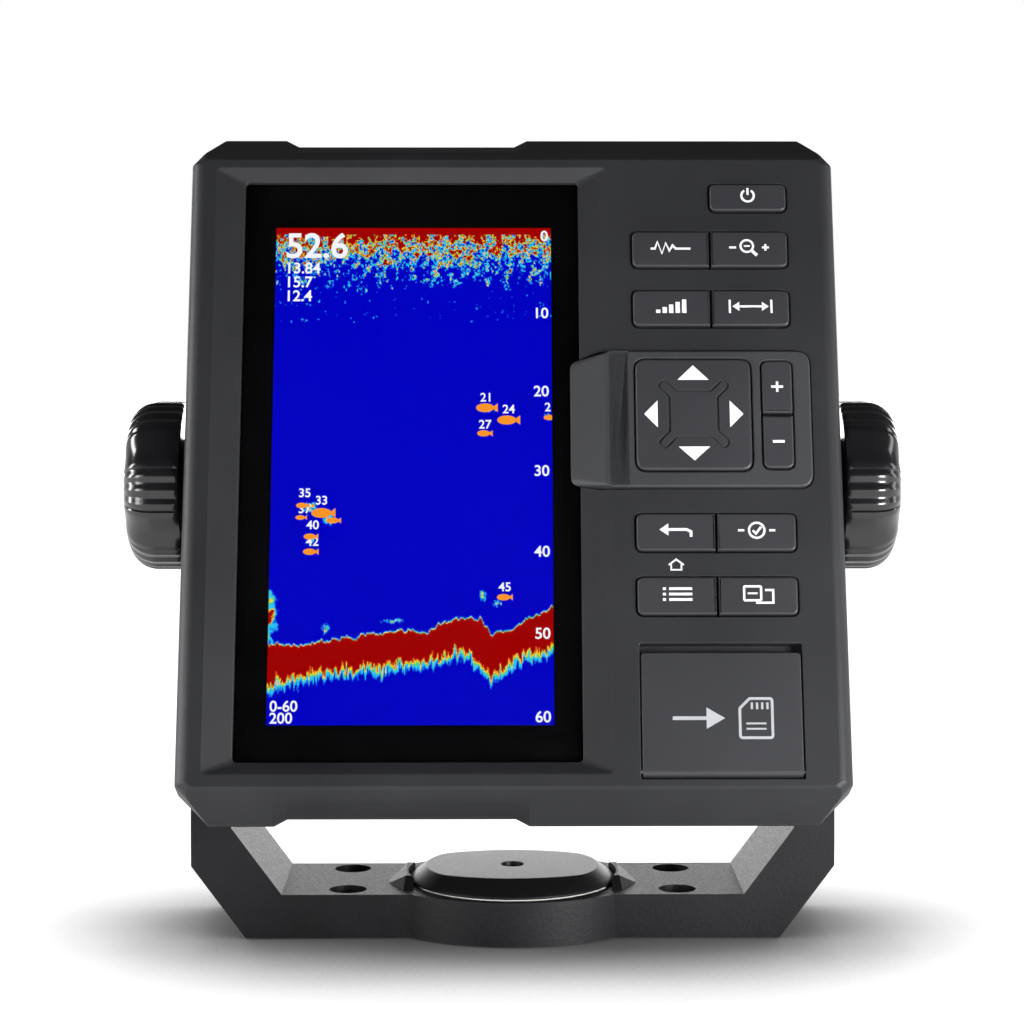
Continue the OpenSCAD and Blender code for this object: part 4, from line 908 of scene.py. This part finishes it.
def buildCaseScrews():
    mesh = newMesh()
    back = case["front"] + case["flange"]
    for side in (-1, 1):
        for row in (-67, 0, 67):
            head = newMesh()
            turned(head, [(1.25, back - 1.3), (2.3, back - 1.3), (2.5, back - 1.1), (2.5, back - 0.5),
                          (2.3, back - 0.15), (1.6, back)], 40, (side*68.2, row))
            cross = newMesh()
            loft(cross, [(rectangle(side*68.2, row, 0.5, 2.6, 0.1), back - 0.8),
                         (rectangle(side*68.2, row, 0.7, 2.9, 0.1), back + 1)])
            head = combine(head, cross, "DIFFERENCE")
            cross = newMesh()
            loft(cross, [(rectangle(side*68.2, row, 2.6, 0.5, 0.1), back - 0.8),
                         (rectangle(side*68.2, row, 2.9, 0.7, 0.1), back + 1)])
            head = combine(head, cross, "DIFFERENCE")
            shank = newMesh()
            turned(shank, [(1.0, back - 8.6), (1.25, back - 8.2), (1.25, back - 1.25)], 32, (side*68.2, row))
            for part in (head, shank):
                data = bpy.data.meshes.new("work")
                part.to_mesh(data)
                part.free()
                mesh.from_mesh(data)
                bpy.data.meshes.remove(data)
    finishPiece("caseScrewHeads", mesh, facePlace, "housing", "steel", ["case_screws"])


buildPlate()
buildPad()
buildKeys()
buildDoor()
buildKnob(-1, "left_knob")
buildKnob(1, "right_knob")
buildDisc()
buildSocket(0, "power_socket")
buildSocket(1, "sonar_socket")
buildVent()
buildCaseScrews()
print("controls, knobs and sockets built")


screen = {"left": -55.2, "right": 9.0, "low": -59.2, "high": 58.7, "front": 5.26,
          "columns": 270, "rows": 500}


# The picture: one echo strength for each cell, mapped to steps of colour as a sonar does
def screenMaterial():
    material, tree, shader, place = startMaterial("sonar picture")
    s = screen
    wide, tall = (s["right"] - s["left"])*mm, (s["high"] - s["low"])*mm
    shift = addNode(tree, "ShaderNodeVectorMath", {0: place, 1: (-s["left"]*mm, 0, -s["low"]*mm)},
                    operation="ADD")
    unit = addNode(tree, "ShaderNodeVectorMath", {0: shift.outputs[0], 1: (1/wide, 0, 1/tall)},
                   operation="MULTIPLY")
    cell = (1/s["columns"], 1, 1/s["rows"])
    snapped = addNode(tree, "ShaderNodeVectorMath", {0: unit.outputs[0], 1: cell},
                      operation="SNAP").outputs[0]
    split = addNode(tree, "ShaderNodeSeparateXYZ", {0: snapped})
    u, v = split.outputs[0], split.outputs[2]

    def speckle(scaleU, scaleV, seed, detail=2.0):
        spread = addNode(tree, "ShaderNodeMapping", {"Vector": snapped, "Location": (seed, seed*0.7, 0),
                                                     "Scale": (scaleU, 1, scaleV)}).outputs[0]
        return addNoise(tree, spread, 1, detail, 0.6)

    def curveOf(points):
        node = addNode(tree, "ShaderNodeFloatCurve", {"Value": u})
        curve = node.mapping.curves[0]
        for place, (x, y) in zip(curve.points, (points[0], points[-1])):
            place.location = (x, y)
        for x, y in points[1:-1]:
            curve.points.new(x, y)
        for point in curve.points:
            point.handle_type = "VECTOR"
        node.mapping.update()
        return node.outputs[0]

    def strongest(*values):
        out = values[0]
        for value in values[1:]:
            out = addMath(tree, "MAXIMUM", out, value)
        return out

    fine, coarse = speckle(110, 150, 3.1), speckle(36, 48, 8.3)
    streaks = speckle(95, 26, 5.7, 3)
    surface = addMath(tree, "ADD", addRange(tree, v, 0.86, 0.98, -0.25, 0.8),
                      addMath(tree, "MULTIPLY",
                              addMath(tree, "SUBTRACT", addMath(tree, "ADD", fine, coarse), 1.0), 2.1))
    surface = addMath(tree, "MULTIPLY", surface, addMath(tree, "GREATER_THAN", v, 0.80))
    ceiling = addMath(tree, "MULTIPLY", addMath(tree, "GREATER_THAN", v, 0.984), 2)
    bed = curveOf([(0, 0.152), (0.12, 0.15), (0.25, 0.16), (0.36, 0.17), (0.465, 0.176),
                   (0.56, 0.175), (0.6, 0.19),
                   (0.71, 0.205), (0.745, 0.2), (0.78, 0.168), (0.85, 0.18), (0.93, 0.205), (1, 0.224)])
    under = curveOf([(0, 0.098), (0.12, 0.118), (0.25, 0.125), (0.465, 0.14), (0.6, 0.152), (0.7, 0.168),
                     (0.78, 0.112),
                     (0.86, 0.15), (0.93, 0.16), (1, 0.17)])
    jag = addMath(tree, "MULTIPLY", addMath(tree, "SUBTRACT", speckle(60, 2, 1.3), 0.5), 0.03)
    above = addMath(tree, "SUBTRACT", v, addMath(tree, "ADD", bed, jag))
    below = addMath(tree, "SUBTRACT", addMath(tree, "ADD", under, addMath(tree, "MULTIPLY", jag, 1.6)), v)
    crest = addRange(tree, above, 0, 0.009, 1.1, 0)
    tail = addMath(tree, "ADD", addRange(tree, below, 0, 0.06, 1.15, -0.2),
                   addMath(tree, "MULTIPLY", addMath(tree, "SUBTRACT", streaks, 0.5), 1.5))
    seabed = addMath(tree, "MINIMUM", crest, addMath(tree, "ADD", tail, addMath(tree, "MULTIPLY",
                     addMath(tree, "LESS_THAN", below, 0), 1)))

    def patch(cu, cv, ru, rv, strength, source):
        du = addMath(tree, "DIVIDE", addMath(tree, "SUBTRACT", u, cu), ru)
        dv = addMath(tree, "DIVIDE", addMath(tree, "SUBTRACT", v, cv), rv)
        far = addMath(tree, "SQRT", addMath(tree, "ADD", addMath(tree, "MULTIPLY", du, du),
                                            addMath(tree, "MULTIPLY", dv, dv)))
        return addMath(tree, "ADD", addRange(tree, far, 0, 1, strength, -0.6),
                       addMath(tree, "MULTIPLY", addMath(tree, "SUBTRACT", source, 0.5), 1.6))

    column = addMath(tree, "MULTIPLY", patch(-0.01, 0.205, 0.1, 0.125, 1.0, coarse),
                     addMath(tree, "LESS_THAN", u, 0.09))
    patches = [patch(0.765, 0.625, 0.09, 0.028, 0.5, fine), patch(0.84, 0.6, 0.06, 0.02, 0.45, fine),
               patch(0.14, 0.425, 0.06, 0.03, 0.7, fine), patch(0.2, 0.405, 0.05, 0.035, 0.75, fine),
               patch(0.14, 0.36, 0.05, 0.025, 0.5, fine), patch(0.75, 0.25, 0.03, 0.03, 0.75, fine),
               patch(0.8, 0.235, 0.05, 0.018, 0.6, fine), patch(0.2, 0.185, 0.03, 0.022, 0.75, fine),
               patch(0.44, 0.2, 0.1, 0.014, 0.6, fine), patch(0.98, 0.61, 0.05, 0.018, 0.4, fine)]
    specks = addMath(tree, "MULTIPLY", addMath(tree, "GREATER_THAN", speckle(140, 190, 9.9), 0.8), 0.4)
    total = strongest(surface, ceiling, seabed, column, specks, *patches)
    ramp = addNode(tree, "ShaderNodeValToRGB", {0: total})
    ramp.color_ramp.interpolation = "CONSTANT"
    steps = [(0, (0, 0, 0.5)), (0.28, (0.01, 0.12, 0.75)), (0.36, (0.02, 0.5, 0.85)),
             (0.5, (0.1, 0.6, 0.12)),
             (0.58, (0.8, 0.6, 0.03)), (0.66, (0.7, 0.14, 0.01)), (0.74, (0.31, 0.0, 0.0))]
    for i, (at, colour) in enumerate(steps):
        stop = ramp.color_ramp.elements[i] if i < 1 else ramp.color_ramp.elements.new(at)
        stop.position = at
        stop.color = (*colour, 1)
    last = ramp.color_ramp.elements[-1]
    last.position = 1
    last.color = (0.31, 0.0, 0.0, 1)
    tree.links.new(ramp.outputs[0], shader.inputs["Emission Color"])
    tree.links.new(addRange(tree, fine, 0.3, 0.7, 0.45, 0.55), shader.inputs["Roughness"])
    shader.inputs["Specular IOR Level"].default_value = 0.05
    shader.inputs["Emission Strength"].default_value = 1.05
    shader.inputs["Base Color"].default_value = (0, 0, 0, 1)
    return material


looks["picture"] = screenMaterial()


def screenPoint(u, v):
    s = screen
    return s["left"] + u*(s["right"] - s["left"]), s["low"] + v*(s["high"] - s["low"])


# Figures on the screen: each is (words, across, up, height, where it's held)
def addFigures(mesh, figures, front):
    for words, u, v, size, align in figures:
        text = bpy.data.curves.new("figures", "FONT")
        text.body = words
        text.size = size*1.38
        text.offset = size*0.022
        text.align_x = align
        text.extrude = 0.01
        obj = bpy.data.objects.new("figures", text)
        bpy.context.scene.collection.objects.link(obj)
        bpy.context.view_layer.update()
        flat = bpy.data.meshes.new_from_object(obj.evaluated_get(bpy.context.evaluated_depsgraph_get()))
        a, b = screenPoint(u, v)
        flat.transform(Matrix.Translation((a, front, b)) @ Matrix.Rotation(math.pi/2, 4, "X"))
        mesh.from_mesh(flat)
        bpy.data.objects.remove(obj)
        bpy.data.curves.remove(text)
        bpy.data.meshes.remove(flat)


def addFish(mesh, u, v, length, front):
    a, b = screenPoint(u, v)
    tall = length*0.5
    outline = [(a + length/2*math.cos(t), b + tall/2*math.sin(t))
               for t in [math.radians(18*k) for k in range(20)]]
    shape(mesh, outline, front)
    shape(mesh, [(a + length*0.36, b), (a + length*0.7, b + tall*0.5), (a + length*0.7, b - tall*0.5)],
          front + 0.002)


def buildScreen():
    s = screen
    centreU, centreV = (s["left"] + s["right"])/2, (s["low"] + s["high"])/2
    area = rectangle(centreU, centreV, s["right"] - s["left"], s["high"] - s["low"], 0.05)
    body = newMesh()
    loft(body, [(area, s["front"]), (area, s["front"] + 0.03)])
    finishPiece("sonarPicture", body, facePlace, "housing", "picture")
    edge = newMesh()
    rings = [(grow(rectangle(window["u"], window["v"], window["w"], window["h"], 1.2), 1.3), 5.203),
             (area, 5.203),
             (area, 5.235), (grow(rectangle(window["u"], window["v"], window["w"], window["h"],
                                            1.2), 1.3), 5.235)]
    made = [[edge.verts.new((p[0], depth, p[1])) for p in points] for points, depth in rings]
    for first, second in zip(made, made[1:] + made[:1]):
        for i in range(len(area)):
            j = (i + 1) % len(area)
            edge.faces.new((first[i], first[j], second[j], second[i]))
    finishPiece("windowBorder", edge, facePlace, "housing", "border")
    white = newMesh()
    figures = [("52.6", 0.035, 0.938, 6.2, "LEFT"), ("13.84", 0.035, 0.905, 2.7, "LEFT"),
               ("15.7", 0.035, 0.876, 2.7, "LEFT"), ("12.4", 0.035, 0.847, 2.7, "LEFT"),
               ("0-60", 0.01, 0.027, 2.5, "LEFT"), ("200", 0.01, 0.004, 2.5, "LEFT")]
    figures += [(str(10*k), 0.99, 0.973 - 0.1612*k, 2.6, "RIGHT") for k in range(7)]
    figures += [("21", 0.765, 0.64, 2.1, "CENTER"), ("24", 0.845, 0.616, 2.1, "CENTER"),
                ("27", 0.76, 0.585, 2.1, "CENTER"),
                ("2", 0.985, 0.62, 2.1, "CENTER"), ("35", 0.12, 0.447, 2.1, "CENTER"),
                ("33", 0.18, 0.432, 2.1, "CENTER"),
                ("37", 0.12, 0.415, 2.1, "CENTER"), ("40", 0.15, 0.383, 2.1, "CENTER"),
                ("42", 0.15, 0.35, 2.1, "CENTER"),
                ("45", 0.83, 0.26, 2.1, "CENTER")]
    addFigures(white, figures, s["front"] - 0.012)
    finishPiece("screenFigures", white, facePlace, "housing", "digit", (), 50)
    orange = newMesh()
    for u, v, size in ((0.76, 0.627, 4.2), (0.838, 0.602, 4.4), (0.755, 0.575, 3.0), (0.99, 0.607, 2.6),
                       (0.11, 0.43, 2.6),
                       (0.18, 0.415, 4.6), (0.22, 0.4, 2.8), (0.105, 0.406, 2.2), (0.14, 0.368, 2.8),
                       (0.14, 0.338, 3),
                       (0.825, 0.248, 3)):
        addFish(orange, u, v, size, s["front"] - 0.002)
    finishPiece("fishMarks", orange, facePlace, "housing", "fish")


buildScreen()
print("screen built")


# CAD pieces that keep their own shape get rounded edges and a material
slotLooks = {"textured_charcoal": "case", "bracket_charcoal": "bracket", "key_black": "key",
             "plate_grey": "plate",
             "knob_black": "knob", "socket_black": "socket", "disc_grey": "disc", "window": "pane",
             "display": "border",
             "seal_rubber": "rubber", "bright_steel": "steel", "brass": "brass", "nickel": "nickel",
             "circuit_board": "board", "chip_black": "chip", "flat_cable": "cable", "friction_ring": "ring"}
softEdges = {"bail_bracket": 0.45, "swivel_base": 0.35, "left_washer": 0.25, "right_washer": 0.25,
             "display_window": 0.12, "power_pins": 0.2, "sonar_pins": 0.2, "lcd_frame": 0.15, "buzzer": 0.3,
             "main_board_parts": 0.12, "door_seal": 0.2, "left_bushing": 0.2, "right_bushing": 0.2,
             "swivel_screws": 0.2,
             "left_stud": 0.3, "right_stud": 0.3, "card_socket": 0.1}
slotOf = {part["node"]: part["material_slot"] for part in frame["record"]["subparts"]}
for name, obj in nodes.items():
    obj.data.materials.clear()
    obj.data.materials.append(looks[slotLooks[slotOf[name]]])
    if name in softEdges:
        weld = obj.modifiers.new("weld", "WELD")
        weld.merge_threshold = 1e-6
        bevel = obj.modifiers.new("round", "BEVEL")
        bevel.width = softEdges[name]*mm
        bevel.segments = 3
        bevel.limit_method = "ANGLE"
        bevel.angle_limit = math.radians(28)
        bevel.harden_normals = True
        bevel.use_clamp_overlap = True
    smooth = obj.modifiers.new("normals", "WEIGHTED_NORMAL")
    smooth.keep_sharp = True
print("CAD pieces dressed")


# Floor, light and camera. The ground gives off its own light, and close to the part an ambient occlusion node
# darkens that glow: a painted contact shadow.
ground = {"half": 4.0, "shadowReach": 0.055, "shadowDepth": 3.4, "glow": 1.16}
floorData = bpy.data.meshes.new("floor")
half = ground["half"]
floorData.from_pydata([(-half, -half, 0), (half, -half, 0), (half, half, 0), (-half, half, 0)], [],
                      [(0, 1, 2, 3)])
floor = bpy.data.objects.new("floor", floorData)
bpy.context.scene.collection.objects.link(floor)
floorWithPaintedShadow, tree, shader, place = startMaterial("floorWithPaintedShadow")
tone = addNoise(tree, place, 6, 2)
tree.links.new(addMix(tree, tone, (0.11, 0.11, 0.11), (0.13, 0.13, 0.13)), shader.inputs["Base Color"])
tree.links.new(addRange(tree, tone, 0, 1, 0.8, 0.95), shader.inputs["Roughness"])
# painted shadow: the floor's glow fades towards near black where ambient occlusion finds the part close by
near = addNode(tree, "ShaderNodeAmbientOcclusion", {"Distance": ground["shadowReach"]},
               samples=16).outputs["AO"]
tree.links.new(addMix(tree, addMath(tree, "POWER", near, ground["shadowDepth"]), (0.02, 0.02, 0.02),
                      (1, 1, 1)), shader.inputs["Emission Color"])
shader.inputs["Emission Strength"].default_value = ground["glow"]
shader.inputs["Specular IOR Level"].default_value = 0.1
floorData.materials.append(floorWithPaintedShadow)

world = bpy.data.worlds.new("studio")
bpy.context.scene.world = world
world.use_nodes = True
tree = world.node_tree
background = tree.nodes["Background"]
path = addNode(tree, "ShaderNodeLightPath")
# pale low down behind, dark above and in front, so that the window stays black
aim = addNode(tree, "ShaderNodeSeparateXYZ", {0: addNode(tree, "ShaderNodeTexCoord").outputs["Generated"]})
behind = addRange(tree, aim.outputs[1], 0.1, 0.6, 0, 0.9)
low = addRange(tree, aim.outputs[2], 0.12, 0.34, 1, 0.05)
dim = addMath(tree, "ADD", addMath(tree, "MULTIPLY", behind, low), 0.03)
shade = addNode(tree, "ShaderNodeMix", {"Factor": path.outputs["Is Camera Ray"], 2: dim, 3: 1.0},
                data_type="FLOAT")
tree.links.new(shade.outputs[0], background.inputs["Color"])


def addLamp(name, at, aim, size, power):
    data = bpy.data.lights.new(name, "AREA")
    data.shape = "RECTANGLE"
    data.size, data.size_y = size
    data.energy = power
    lamp = bpy.data.objects.new(name, data)
    lamp.location = at
    lamp.rotation_euler = (Vector(aim) - Vector(at)).to_track_quat("-Z", "Y").to_euler()
    bpy.context.scene.collection.objects.link(lamp)


addLamp("leftFront", (-1.25, -1.0, 0.28), (0, 0, 0.1), (0.7, 0.7), 4.5)
addLamp("leftNear", (-0.5, -0.26, 0.1), (0.06, 0, 0.08), (0.15, 0.3), 1.1)
addLamp("rightNear", (0.32, -0.34, 0.07), (0.1, 0, 0.05), (0.16, 0.12), 2.4)
addLamp("rightFront", (1.3, -0.8, 0.3), (0, 0, 0.1), (0.6, 0.7), 1.6)
addLamp("leftStrip", (-1.1, 0.1, 0.3), (0, 0, 0.1), (0.25, 0.8), 9)
addLamp("rightStrip", (1.1, 0.1, 0.3), (0, 0, 0.1), (0.25, 0.8), 2.5)
addLamp("back", (0, 1.3, 0.2), (0, 0, 0.03), (1.6, 0.3), 7.5)

shot = {"target": (-0.07, 0, 98.07), "pitch": 4.31, "yaw": -0.52, "distance": 619.8, "lens": 92.36}
yaw, pitch = math.radians(shot["yaw"]), math.radians(shot["pitch"])
away = Vector((math.sin(yaw)*math.cos(pitch), -math.cos(yaw)*math.cos(pitch), math.sin(pitch)))
target = Vector(shot["target"])*mm
cameraData = bpy.data.cameras.new("camera")
cameraData.lens = shot["lens"]
cameraData.sensor_width = 36
cameraData.clip_start = 0.02
camera = bpy.data.objects.new("camera", cameraData)
camera.location = target + away*shot["distance"]*mm
camera.rotation_euler = (-away).to_track_quat("-Z", "Y").to_euler()
bpy.context.scene.collection.objects.link(camera)
bpy.context.scene.camera = camera
bpy.context.scene.view_settings.view_transform = "Standard"
print("stage set")
